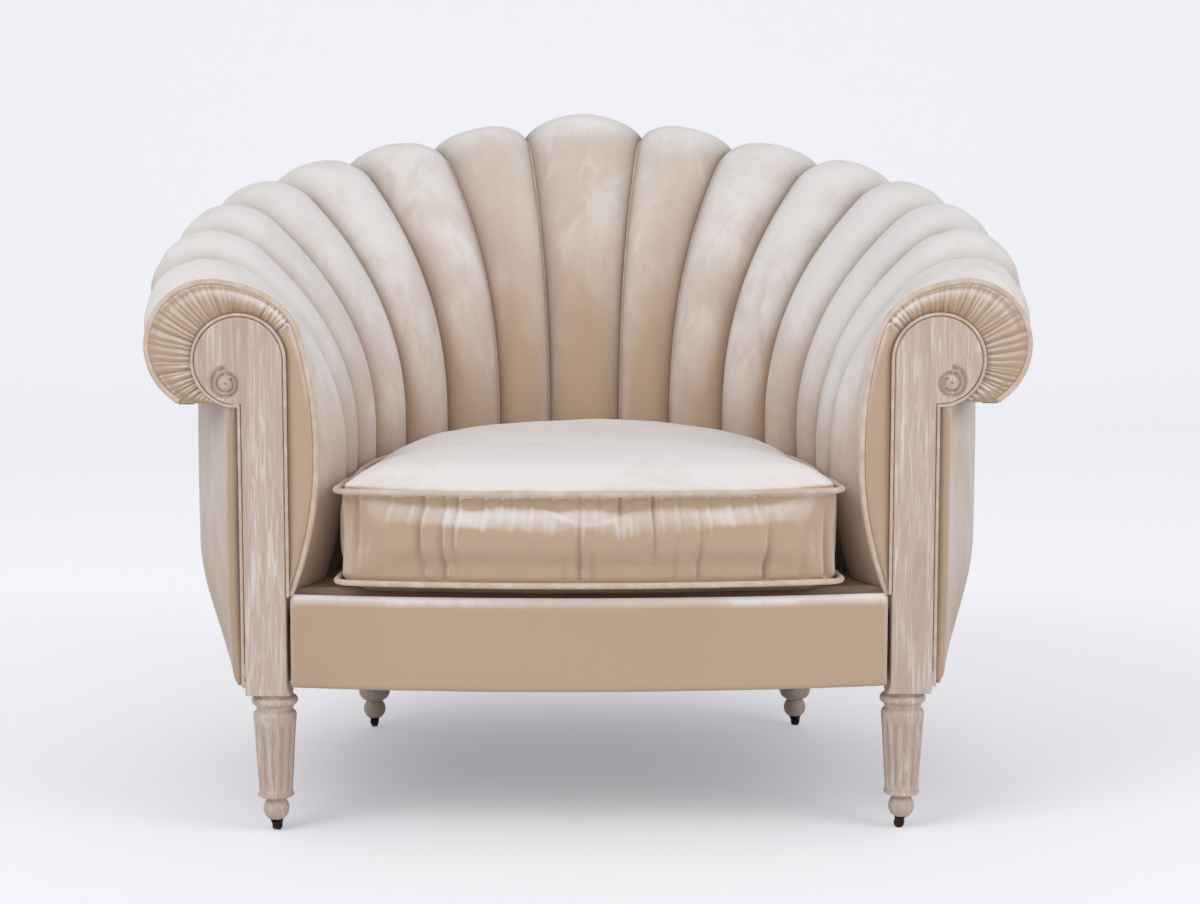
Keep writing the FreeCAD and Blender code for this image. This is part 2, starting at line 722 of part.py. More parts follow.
def outline(sketch, corners):
    """Closed outline through corners given as expressions of driving sizes. A corner with a radius
    and a turn is reached along an arc, any other one along a line."""
    spots = [Vector(reckon(corner[0]), reckon(corner[1]), 0) for corner in corners]
    ends = []
    for index, corner in enumerate(corners):
        start, end = spots[index - 1], spots[index]
        if len(corner) == 2:
            edge, first, last = Part.LineSegment(start, end), 1, 2
        else:
            edge, first, last = arc_between(start, end, reckon(corner[2]), corner[3])
        ends.append((sketch.addGeometry(edge, False), first, last))
    bound = []
    for index, corner in enumerate(corners):
        edge, first, last = ends[index]
        before, _, before_last = ends[index - 1]
        sketch.addConstraint(Sketcher.Constraint("Coincident", before, before_last, edge, first))
        for kind, text, amount in (("DistanceX", corner[0], spots[index].x),
                                   ("DistanceY", corner[1], spots[index].y)):
            number = sketch.addConstraint(Sketcher.Constraint(kind, -1, 1, edge, last, amount))
            bound.append((number, text))
        if len(corner) > 2:
            number = sketch.addConstraint(Sketcher.Constraint("Radius", edge, reckon(corner[2])))
            bound.append((number, corner[2]))
    for number, text in bound:
        sketch.setExpression(f"Constraints[{number}]", text)


def pad(body, sketch, name, length, backwards=False):
    feature = body.newObject("PartDesign::Pad", name)
    feature.Profile = sketch
    feature.setExpression("Length", length)
    feature.Reversed = backwards
    return feature


def pocket(body, sketch, name, length, backwards=False):
    feature = body.newObject("PartDesign::Pocket", name)
    feature.Profile = sketch
    feature.setExpression("Length", length)
    feature.Reversed = backwards
    return feature


def turned(body, corners, name="turning"):
    """Solid of revolution about the body's upright axis from an outline of radius and height."""
    sketch = sketch_on(body, "XZ_Plane", name + "_profile")
    outline(sketch, corners)
    feature = body.newObject("PartDesign::Revolution", name)
    feature.Profile = sketch
    feature.ReferenceAxis = (sketch, ["V_Axis"])
    feature.Angle = 360
    return feature


# Legs

SOCKET_BORE = "(Sizes.caster_stem_radius + Sizes.caster_running_fit + Sizes.socket_wall + Sizes.socket_fit)"
BALL_CENTRE = "(Sizes.caster_height + sqrt(Sizes.leg_ball_radius ^ 2 - Sizes.leg_ball_flat ^ 2))"
RING_FOOT = "(Sizes.leg_height - Sizes.leg_ring_height)"
NECK_FOOT = f"({RING_FOOT} - Sizes.leg_neck_height)"
SHOULDER_FOOT = f"({RING_FOOT} - Sizes.leg_shoulder_height)"
FLUTE_TOP = f"({SHOULDER_FOOT} - Sizes.flute_margin)"
FLUTE_FOOT = "(Sizes.leg_taper_height + Sizes.flute_margin)"


def on_ball(angle):
    """Corner on the ball at the foot of a leg, at an angle above its middle."""
    return (f"Sizes.leg_ball_radius * cos({angle})", f"{BALL_CENTRE} + Sizes.leg_ball_radius * sin({angle})")


LEG_FOOT = [
    ("Sizes.leg_throat_radius", "Sizes.leg_throat_height"),
    on_ball(35),
    on_ball(0),
    on_ball(-28),
    ("Sizes.leg_ball_flat", "Sizes.caster_height"),
    (SOCKET_BORE, "Sizes.caster_height"),
    (SOCKET_BORE, "Sizes.caster_height + Sizes.socket_length"),
    ("0", "Sizes.caster_height + Sizes.socket_length"),
]
REAR_TOP = "(Sizes.leg_height + Sizes.frame_lift)"


def tenon_on(top):
    """Corners of the turned tenon above the shoulder of a leg."""
    return [("0", f"{top} + Sizes.leg_tenon_length"),
            ("Sizes.leg_tenon_radius", f"{top} + Sizes.leg_tenon_length"),
            ("Sizes.leg_tenon_radius", top)]


FRONT_LEG = tenon_on("Sizes.leg_height") + [
    ("Sizes.leg_ring_radius - Sizes.leg_ring_round", "Sizes.leg_height"),
    ("Sizes.leg_ring_radius", "Sizes.leg_height - Sizes.leg_ring_round"),
    ("Sizes.leg_ring_radius", f"{RING_FOOT} + Sizes.leg_ring_round"),
    ("Sizes.leg_ring_radius - Sizes.leg_ring_round", RING_FOOT),
    ("Sizes.leg_neck_radius", NECK_FOOT),
    ("Sizes.leg_shoulder_radius", f"{NECK_FOOT} - Sizes.leg_ring_round"),
    ("Sizes.leg_shoulder_radius", SHOULDER_FOOT),
    ("Sizes.leg_taper_radius", "Sizes.leg_taper_height"),
    ("Sizes.leg_lip_radius", "Sizes.leg_taper_height - Sizes.leg_lip_height / 2"),
    ("Sizes.leg_taper_radius", "Sizes.leg_taper_height - Sizes.leg_lip_height"),
] + LEG_FOOT
REAR_LEG = tenon_on(REAR_TOP) + [
    ("Sizes.rear_block_radius", REAR_TOP),
    ("Sizes.rear_block_radius", "Sizes.rear_bun_height + Sizes.rear_neck_height"),
    ("Sizes.rear_neck_radius", "Sizes.rear_bun_height + Sizes.rear_neck_height"),
    ("Sizes.rear_neck_radius", "Sizes.rear_bun_height"),
    ("Sizes.rear_bun_radius * 0.92", "Sizes.rear_bun_height - Sizes.rear_bun_depth * 0.14"),
    ("Sizes.rear_bun_radius", "Sizes.rear_bun_height - Sizes.rear_bun_depth * 0.42"),
    ("Sizes.rear_bun_radius * 0.9", "Sizes.rear_bun_height - Sizes.rear_bun_depth * 0.75"),
] + LEG_FOOT


def flutes(body):
    """Hollows down the taper, evenly round the leg."""
    top = reckon(FLUTE_TOP)
    foot = reckon(FLUTE_FOOT)
    narrow, wide = size("leg_taper_radius"), size("leg_shoulder_radius")
    lean = math.degrees(math.atan2(wide - narrow, top - foot))
    out = narrow + size("flute_radius") - size("flute_depth")
    cutter = body.newObject("PartDesign::SubtractiveCylinder", "flute")
    cutter.setExpression("Radius", "Sizes.flute_radius")
    cutter.setExpression("Height", f"({FLUTE_TOP} - {FLUTE_FOOT}) / cos({lean:.6f})")
    cutter.Placement = Placement(Vector(out, 0, foot), Rotation(Vector(0, 1, 0), lean))
    doc.recompute()
    ring = body.newObject("PartDesign::PolarPattern", "flute_ring")
    ring.Originals = [cutter]
    axis = next(item for item in body.Origin.OriginFeatures if item.Role == "Z_Axis")
    ring.Axis = (axis, [""])
    ring.Angle = 360
    ring.setExpression("Occurrences", "Sizes.flute_count")
    body.Tip = ring


def leg_pair(row, corners, fluted):
    """Both legs of a row, each turned from its own billet."""
    pair = []
    for name in (row + "_left", row + "_right"):
        leg = new_body("leg_" + name)
        turned(leg, corners)
        if fluted:
            flutes(leg)
        leg.Placement = Placement(LEG_SPOTS[name], Rotation())
        pair.append(leg)
    legs = doc.addObject("Part::Compound", row + "_legs")
    legs.Links = pair
    keep(row + "_legs", legs)


leg_pair("front", FRONT_LEG, True)
leg_pair("rear", REAR_LEG, False)


# Arm posts with their scroll and volute

def post_corners(side):
    """Front outline of a post, from the outer foot round to the inner one."""
    inner = "Sizes.post_inner"
    outer = "(Sizes.post_inner + Sizes.post_width)"
    centre = "(Sizes.post_inner + Sizes.scroll_radius)"
    flat = "(Sizes.scroll_height - Sizes.scroll_drop)"
    foot = "Sizes.leg_height"
    shoulder = "(Sizes.leg_height + Sizes.post_foot_height)"
    turn = 1 if side > 0 else -1
    corners = [
        (outer, flat),
        (outer, foot),
        (f"{inner} - Sizes.post_foot_flare", foot),
        (inner, shoulder),
        (inner, "Sizes.scroll_height"),
        (centre, "Sizes.scroll_height + Sizes.scroll_radius", "Sizes.scroll_radius", -turn),
        (f"{centre} + Sizes.scroll_radius", "Sizes.scroll_height", "Sizes.scroll_radius", -turn),
        (f"{centre} + sqrt(Sizes.scroll_radius ^ 2 - Sizes.scroll_drop ^ 2)", flat,
         "Sizes.scroll_radius", -turn),
    ]
    if side > 0:
        return corners
    return [(f"-({corner[0]})",) + corner[1:] for corner in corners]


def volute_corners(side):
    """A spiral groove of quarter turns, each drawn in from the one before."""
    centre = ("(Sizes.post_inner + Sizes.scroll_radius + Sizes.volute_across)",
              "(Sizes.scroll_height - Sizes.volute_drop)")
    last = int(size("volute_quarters"))
    reach = [size("volute_draw_in") ** step for step in range(last + 1)]

    def spot(step, inset):
        angle = 90 - 90 * step
        radius = f"(Sizes.volute_radius * {reach[step]:.4f} - {inset})"
        across = f"{centre[0]} + {radius} * cos({angle})"
        if side < 0:
            across = f"-({across})"
        return across, f"{centre[1]} + {radius} * sin({angle})"

    outer = [spot(step, "0") for step in range(last + 1)]
    inner = [spot(step, "Sizes.volute_groove") for step in range(last, -1, -1)]
    turn = 1 if side > 0 else -1
    corners = [outer[0]]
    for step in range(1, last + 1):
        mean = (reach[step - 1] + reach[step]) / 2
        corners.append(outer[step] + (f"Sizes.volute_radius * {mean:.4f}", -turn))
    corners.append(inner[0])
    for step in range(1, last + 1):
        mean = (reach[last - step + 1] + reach[last - step]) / 2
        corners.append(inner[step] + (f"Sizes.volute_radius * {mean:.4f} - Sizes.volute_groove", turn))
    return corners


def arm_post(side, name):
    """Post cut from one board, with its carved volute and the bore for the leg's tenon."""
    body = new_body(name)
    front = sketch_on(body, "XZ_Plane", "post_front")
    outline(front, post_corners(side))
    pad(body, front, "post_block", "Sizes.post_depth", backwards=True)
    doc.recompute()
    groove = sketch_on(body, "XZ_Plane", "volute")
    outline(groove, volute_corners(side))
    pocket(body, groove, "carved_volute", "Sizes.volute_sink")
    bore = sketch_on(body, "XY_Plane", "tenon_bore")
    circle = bore.addGeometry(Part.Circle(Vector(side * size("leg_across"), size("leg_set_back"), 0),
                                          Vector(0, 0, 1), size("leg_tenon_radius")), False)
    for kind, text in (("DistanceX", f"{side} * Sizes.leg_across"), ("DistanceY", "Sizes.leg_set_back")):
        number = bore.addConstraint(Sketcher.Constraint(kind, -1, 1, circle, 3, reckon(text)))
        bore.setExpression(f"Constraints[{number}]", text)
    number = bore.addConstraint(Sketcher.Constraint("Radius", circle, size("leg_tenon_radius")))
    bore.setExpression(f"Constraints[{number}]", "Sizes.leg_tenon_radius + Sizes.leg_tenon_fit")
    bore.AttachmentOffset = Placement(Vector(0, 0, size("leg_height")), Rotation())
    bore.setExpression("AttachmentOffset.Base.z", "Sizes.leg_height")
    pocket(body, bore, "leg_bore", "Sizes.leg_tenon_length + Sizes.tenon_end_gap", backwards=True)
    body.Placement = Placement(Vector(0, FRONT, 0), Rotation())
    keep(name, body)


for name, side in (("arm_post_left", -1), ("arm_post_right", 1)):
    arm_post(side, name)
doc.recompute()


def post_blank(margin, near, far):
    """Solid over the outline of the right-hand post grown by a margin, between two depths."""
    inner, outer = size("post_inner") - margin, size("post_inner") + size("post_width") + margin
    radius, middle = size("scroll_radius") + margin, size("scroll_height")
    centre = size("post_inner") + size("scroll_radius")
    stem = block_between((inner, outer), (near, far), (FRAME_FOOT, middle))
    head = Part.makeCylinder(radius, far - near, Vector(centre, FRONT + near, middle), Vector(0, 1, 0))
    under = block_between((outer, centre + radius), (near, far),
                          (middle - radius, middle - size("scroll_drop") - margin))
    return stem.fuse(head.cut(under)).removeSplitter()


keep_shape("outside_panel_back", strip([panel_outline(place) for place in
                                              stations(-PANEL_SEAM, PANEL_SEAM)]))
keep_shape("outside_panel_right", side_panel(1))
keep_shape("outside_panel_left", side_panel(-1))


# Arm fronts: braid, gathered ring, facing and piping

ARM_SECTION = Section(FRONT_EDGE)
APRON_TOP = FRAME_FOOT - size("apron_drop") + size("apron_height")
WELT_SIDES = 6
APRON_FACETS = 12


def arm_profile(inset):
    """Across and height of the right-hand arm front's edge, drawn in by an inset."""
    spots = [ARM_SECTION.spot(stage, crown_at(stage) - inset) for stage in STAGES]
    return [Vector(spot.x, 0, max(spot.z, CHANNEL_FOOT)) for spot in spots]


def arm_blank(inset, near, far):
    """Solid over the whole arm front, right-hand side."""
    spots = arm_profile(inset)
    middle = size("post_inner") + size("post_width") / 2
    spots += [Vector(middle, 0, spots[-1].z), Vector(middle, 0, spots[0].z)]
    placed = [Vector(spot.x, FRONT + near, spot.z) for spot in spots]
    return Part.Face(closed_wire(placed)).extrude(Vector(0, far - near, 0))


def ring_window(margin, near, far):
    """Block over the part of the right-hand arm front that is gathered."""
    centre = size("post_inner") + size("scroll_radius")
    side = size("crest_front_half") + size("roll_radius_front")
    top = size("crest_height_front")
    upper = block_between((centre - size("fold_across") - margin, side), (near, far),
                          (size("fold_height") - margin, top))
    outer = block_between((centre - margin, side), (near, far), (size("shell_tuck_height"), top))
    return upper.fuse(outer)


def arm_front(side, name):
    clear = size("soft_clearance")
    back = size("post_depth")
    ring_near, face_near = size("ruche_set_back"), size("facing_set_back")
    edge = 2 * size("welt_radius")
    beside = post_blank(size("gimp_width") + 2 * clear, ring_near, back)
    ring = arm_blank(edge, ring_near, back).common(ring_window(0, ring_near, back)).cut(beside)
    keep_shape("arm_ruche_" + name, on_side(biggest(ring), side))
    face = arm_blank(edge, face_near, back).cut(ring_window(clear, ring_near, back)).cut(beside)
    keep_shape("arm_facing_" + name, on_side(biggest(face), side))
    near, far = size("gimp_set_back"), size("gimp_set_back") + size("gimp_thickness")
    braid = post_blank(size("gimp_width"), near, far).cut(post_blank(clear / 2, near, far))
    inner = size("post_inner")
    braid = braid.cut(block_between((inner - size("post_foot_flare"), inner), (near, far),
                                    (FRAME_FOOT, APRON_TOP + 2 * clear)))
    keep_shape("post_braid_" + name, on_side(biggest(braid), side))


def welt_round_arm():
    """Piping round the edge of the arm front, right-hand side."""
    radius = size("welt_radius")
    path = arm_profile(radius)
    near = FRONT + size("facing_set_back") + radius
    rings = []
    for index, spot in enumerate(path):
        before, after = path[max(index - 1, 0)], path[min(index + 1, len(path) - 1)]
        run = (after - before).normalize() if index else Vector(0, 0, 1)
        across = Vector(-run.z, 0, run.x)
        ring = []
        for step in range(WELT_SIDES):
            angle = 2 * math.pi * step / WELT_SIDES
            ring.append(Vector(spot.x, near, spot.z) + across * (radius * math.cos(angle))
                        + Vector(0, radius * math.sin(angle), 0))
        rings.append(ring)
    return strip(rings)


for name, side in (("left", -1), ("right", 1)):
    arm_front(side, name)
    keep_shape("arm_piping_" + name, on_side(welt_round_arm(), side))


# Front rail and apron

def bowed_corners(front, back, half):
    """Level outline with a bowed front, its ends cut square."""
    bow_radius = f"(({half}) ^ 2 + Sizes.front_bow ^ 2) / (2 * Sizes.front_bow)"
    return [(f"-({half})", back), (f"-({half})", front), (half, front, bow_radius, 1), (half, back)]


def bowed_board(name, front, back, half, low, height):
    body = new_body(name)
    plan = sketch_on(body, "XY_Plane", name + "_plan")
    outline(plan, bowed_corners(front, back, half))
    pad(body, plan, name + "_board", height)
    body.Placement = Placement(Vector(0, FRONT, reckon(low)), Rotation())
    keep(name, body)


HALF_RAIL = "(Sizes.post_inner - Sizes.post_foot_flare)"
bowed_board("seat_rail_front", "Sizes.apron_thickness + 2 * Sizes.soft_clearance", "Sizes.post_depth",
            HALF_RAIL, "Sizes.leg_height + Sizes.frame_lift", "Sizes.rail_height")


def apron():
    """Padded front apron: bowed front and back faces, rounded upper edge."""
    half = size("post_inner") - size("post_foot_flare") - size("soft_clearance")
    low = FRAME_FOOT - size("apron_drop")
    edge, hem = size("apron_edge"), size("apron_hem")
    thickness = size("apron_thickness")
    outlines = []
    for across in places_between(-half, half, APRON_FACETS):
        front = -size("front_bow") * (1 - (across / half) ** 2)
        line = [(thickness, low), (hem, low), (0, low + hem), (0, APRON_TOP - edge),
                (edge * 0.29, APRON_TOP - edge * 0.29), (edge, APRON_TOP), (thickness, APRON_TOP)]
        outlines.append([Vector(across, FRONT + front + depth, up) for depth, up in line])
    return strip(outlines)


keep_shape("front_apron", apron())


# Corner blocks

def corner_blocks():
    """Bored blocks over the rear legs and braces behind the front rail."""
    solids = []
    side = size("block_side")
    rails = [nodes[name].Shape for name in ("seat_rail_left", "seat_rail_right", "seat_rail_back")]
    for name in ("rear_left", "rear_right"):
        spot = LEG_SPOTS[name]
        block = Part.makeBox(side, side, size("block_height"),
                             Vector(spot.x - side / 2, spot.y - side / 2, FRAME_FOOT))
        bore = Part.makeCylinder(size("leg_tenon_radius") + size("leg_tenon_fit"),
                                 size("leg_tenon_length") + size("tenon_end_gap"),
                                 Vector(spot.x, spot.y, FRAME_FOOT))
        solids.append(biggest(block.cut(bore).cut(rails)))
    brace_length = size("brace_length")
    outer = across_on_curve(base_curve, size("rail_inset") + size("rail_thickness"),
                            size("post_depth") + brace_length)
    near = FRONT + size("post_depth")
    for turn in (-1, 1):
        spots = [Vector(turn * outer, near, FRAME_FOOT),
                 Vector(turn * outer, near + brace_length, FRAME_FOOT),
                 Vector(turn * (outer - brace_length), near, FRAME_FOOT)]
        brace = Part.Face(closed_wire(spots)).extrude(Vector(0, 0, size("block_height")))
        solids.append(biggest(brace.cut(rails)))
    return Part.makeCompound(solids)


keep_shape("corner_blocks", corner_blocks())


# Seat cushion

CUSHION_FOOT = DECK_TOP + size("soft_clearance")
CUSHION_FACETS = 11


def cushion_plan():
    """Right half of the cushion's outline from the middle of the front round to the back."""
    half, corner = size("cushion_front_half"), size("cushion_corner")
    bow, side_depth = size("cushion_bow"), size("cushion_side_depth")
    spots = []
    for across in places_between(0, half - corner, 4):
        spots.append(Vector(across, -bow + (bow - side_depth) * (across / half) ** 2, 0))
    start = spots[-1]
    for turn in places_between(0, math.pi / 2, 4)[1:]:
        spots.append(Vector(start.x + corner * math.sin(turn), start.y + corner * (1 - math.cos(turn)), 0))
    beside = crown_at(0.5) + size("welt_radius") + 2 * size("soft_clearance")
    first = seat_way(FRONT_EDGE - 0.5)
    for way in places_between(first, 0, CUSHION_FACETS):
        spots.append(seat_curve.offset(way, -beside))
    return spots


def cushion_outline(share, up, out=0.0):
    """Closed level outline of the cushion, drawn towards its middle by a share and grown outwards."""
    middle = (size("seat_depth") - size("cushion_bow")) / 2
    grown = share + out / size("cushion_front_half")
    right = [Vector(spot.x * grown, mix(middle, spot.y, grown), 0) for spot in cushion_plan()]
    left = [Vector(-spot.x, spot.y, 0) for spot in right[-2:0:-1]]
    return [Vector(spot.x, FRONT + spot.y, up) for spot in right + left]


def cushion():
    low, high = size("cushion_lower_seam"), size("cushion_upper_seam")
    crown, power = size("cushion_crown"), size("cushion_crown_power")
    drawn = 1 - size("cushion_draw_in") / size("cushion_front_half")
    outlines = [cushion_outline(0.8, CUSHION_FOOT), cushion_outline(0.94, mix(CUSHION_FOOT, low, 0.4)),
                cushion_outline(1, low), cushion_outline(drawn, (low + high) / 2), cushion_outline(1, high)]
    for share in (0.95, 0.85, 0.68, 0.4):
        outlines.append(cushion_outline(share, high + crown * (1 - share ** power)))
    return strip(outlines)


def cushion_piping(up):
    """Piping round the cushion at the height of a seam."""
    radius, clear = size("welt_radius"), size("soft_clearance")
    outer = [cushion_outline(1, up - radius, clear), cushion_outline(1, up - radius / 2, radius),
             cushion_outline(1, up + radius / 2, radius), cushion_outline(1, up + radius, clear)]
    core = [cushion_outline(1, up - radius, clear / 2), cushion_outline(1, up + radius, clear / 2)]
    return strip(outer).cut(strip(core))


keep_shape("seat_cushion", cushion())
keep_shape("cushion_piping_lower", cushion_piping(size("cushion_lower_seam")))
keep_shape("cushion_piping_upper", cushion_piping(size("cushion_upper_seam")))


# Casters

WHEEL = [
    ("Sizes.caster_axle_radius + Sizes.caster_running_fit", "-Sizes.caster_wheel_width / 2"),
    ("Sizes.caster_wheel_radius", "-Sizes.caster_wheel_width / 2"),
    ("Sizes.caster_wheel_radius", "Sizes.caster_wheel_width / 2"),
    ("Sizes.caster_axle_radius + Sizes.caster_running_fit", "Sizes.caster_wheel_width / 2"),
]
SOCKET_TUBE = "(Sizes.caster_stem_radius + Sizes.caster_running_fit)"
SOCKET_OUT = f"({SOCKET_TUBE} + Sizes.socket_wall)"
FLANGE_LOW = "(Sizes.caster_height - Sizes.socket_flange_thickness)"
SOCKET = [
    (SOCKET_TUBE, FLANGE_LOW),
    ("Sizes.socket_flange_radius", FLANGE_LOW),
    ("Sizes.socket_flange_radius", "Sizes.caster_height"),
    (SOCKET_OUT, "Sizes.caster_height"),
    (SOCKET_OUT, "Sizes.caster_height + Sizes.socket_length"),
    (SOCKET_TUBE, "Sizes.caster_height + Sizes.socket_length"),
]


def caster_fork(turn, spot):
    """Strap bent down on both sides of the wheel, with a swivel stem above it and the riveted axle."""
    thickness, trail = size("caster_crown_thickness"), size("caster_trail")
    top = size("caster_height") - size("socket_flange_thickness") - size("caster_running_fit")
    axle_up = size("caster_wheel_radius")
    gap = size("caster_wheel_width") / 2 + size("caster_side_play")
    arm, half, length = size("caster_arm_thickness"), size("caster_arm_width") / 2, size("caster_crown_length")
    crown = Part.makeBox(length, 2 * (gap + arm), thickness,
                         Vector(trail / 2 - length / 2, -gap - arm, top - thickness))
    stem = Part.makeCylinder(size("caster_stem_radius"), size("caster_stem_length"), Vector(0, 0, top))
    fork = crown.fuse(stem)
    corners = [(length / 2 - trail / 2, top - thickness), (half, axle_up), (half / 2, axle_up - half),
               (-half / 2, axle_up - half), (-half, axle_up), (-length / 2 - trail / 2, top - thickness)]
    for start in (gap, -gap - arm):
        plate = Part.Face(closed_wire([Vector(trail + across, start, up) for across, up in corners]))
        fork = fork.fuse(plate.extrude(Vector(0, arm, 0)))
    axle_length = 2 * (gap + arm + size("caster_rivet"))
    axle = Part.makeCylinder(size("caster_axle_radius"), axle_length,
                             Vector(trail, -axle_length / 2, axle_up), Vector(0, 1, 0))
    fork = fork.fuse(axle).removeSplitter()
    fork.rotate(Vector(0, 0, 0), Vector(0, 0, 1), turn)
    fork.translate(spot)
    return fork


for name, spot in LEG_SPOTS.items():
    turn = CASTER_TURNS[name]
    keep_shape("caster_fork_" + name, caster_fork(turn, spot))
    wheel = new_body("caster_wheel_" + name)
    turned(wheel, WHEEL, "wheel")
    heading = Rotation(Vector(0, 0, 1), turn)
    hub = heading.multVec(Vector(size("caster_trail"), 0, size("caster_wheel_radius")))
    wheel.Placement = Placement(spot + hub, heading.multiply(Rotation(Vector(1, 0, 0), 90)))
    keep("caster_wheel_" + name, wheel)

socket = new_body("caster_socket")
turned(socket, SOCKET, "socket")
doc.recompute()
keep_shape("caster_sockets", Part.makeCompound([socket.Shape.translated(spot)
                                                for spot in LEG_SPOTS.values()]))
doc.recompute()

# Checks and files

for item in doc.Objects:
    if "Invalid" in item.State or "Error" in item.State:
        raise RuntimeError(f"{item.Name} did not build: {item.State}")

whole = FreeCAD.BoundBox()
for label, item in nodes.items():
    shape = item.Shape
    if shape.isNull() or not shape.isValid() or not shape.Solids:
        raise RuntimeError(f"{label} has no valid solid")
    if min(solid.Volume for solid in shape.Solids) <= 0:
        raise RuntimeError(f"{label} is inside out")
    whole.add(shape.BoundBox)

os.makedirs("parts", exist_ok=True)
for label, item in nodes.items():
    item.Shape.exportStep(f"parts/{label}.step")
print(len(nodes), "sub-parts")
print(f"box {whole.XMin:.1f} {whole.XMax:.1f} / {whole.YMin:.1f} {whole.YMax:.1f}"
      f" / {whole.ZMin:.1f} {whole.ZMax:.1f}")
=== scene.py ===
"""Scallop back armchair: velvet channels, gathered arm fronts, limed oak posts and legs, bronze casters."""
import json
import math
import random

import bpy
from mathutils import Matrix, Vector, noise


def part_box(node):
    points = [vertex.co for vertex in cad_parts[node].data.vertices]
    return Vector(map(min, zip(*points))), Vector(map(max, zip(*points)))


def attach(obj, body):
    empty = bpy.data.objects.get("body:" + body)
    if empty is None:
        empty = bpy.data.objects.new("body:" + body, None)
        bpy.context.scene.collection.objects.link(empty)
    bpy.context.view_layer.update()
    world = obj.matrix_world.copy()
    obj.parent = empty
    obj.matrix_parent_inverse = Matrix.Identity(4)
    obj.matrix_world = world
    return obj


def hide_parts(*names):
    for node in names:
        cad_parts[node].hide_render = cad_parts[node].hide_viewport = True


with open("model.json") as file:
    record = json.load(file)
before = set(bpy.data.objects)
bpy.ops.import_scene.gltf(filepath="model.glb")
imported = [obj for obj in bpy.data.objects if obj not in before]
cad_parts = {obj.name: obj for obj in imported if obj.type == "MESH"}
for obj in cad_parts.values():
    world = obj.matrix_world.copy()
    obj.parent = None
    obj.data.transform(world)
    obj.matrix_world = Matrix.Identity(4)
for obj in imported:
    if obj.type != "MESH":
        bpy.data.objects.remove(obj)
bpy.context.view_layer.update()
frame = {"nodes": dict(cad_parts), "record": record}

bl_info = {
    "name": "Scallop Back Armchair",
    "version": (1, 0, 0),
    "blender": (4, 5, 0),
    "location": "3D View > Sidebar > Armchair",
    "description": "Dresses the packed frame of a scallop back armchair",
    "category": "Object",
}

PHOTO_WIDTH = 1200
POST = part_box("arm_post_right")
FRONT = POST[0][1]
POST_DEPTH = POST[1][1] - POST[0][1]
FLOOR_TO_POST = POST[0][2]
CHANNEL_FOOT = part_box("channel_middle")[0][2]
FRAME_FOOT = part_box("seat_rail_back")[0][2]
SIDES = (("left", -1), ("right", 1))
TINY = 1e-6


# Property kinds

def length(name, default, note):
    return bpy.props.FloatProperty(name=name, description=note, default=default, unit="LENGTH",
                                   subtype="DISTANCE", precision=4)


def share(name, default, note):
    return bpy.props.FloatProperty(name=name, description=note, default=default)


def count(name, default, note):
    return bpy.props.IntProperty(name=name, description=note, default=default, min=1)


def turn(name, default, note):
    return bpy.props.FloatProperty(name=name, description=note, default=math.radians(default),
                                   unit="ROTATION", subtype="ANGLE")


def linear(code):
    """A colour written as six hexadecimal digits, as the linear values that a shader takes."""
    parts = [int(code[index:index + 2], 16) / 255 for index in (0, 2, 4)]
    return tuple(part / 12.92 if part <= 0.04045 else ((part + 0.055) / 1.055) ** 2.4 for part in parts)


def colour(name, code, note):
    return bpy.props.FloatVectorProperty(name=name, description=note, default=linear(code), size=3,
                                         subtype="COLOR", min=0.0, max=1.0)


def spot_at(name, default, note):
    return bpy.props.FloatVectorProperty(name=name, description=note, default=default, size=3,
                                         unit="LENGTH", subtype="TRANSLATION")


# Settings

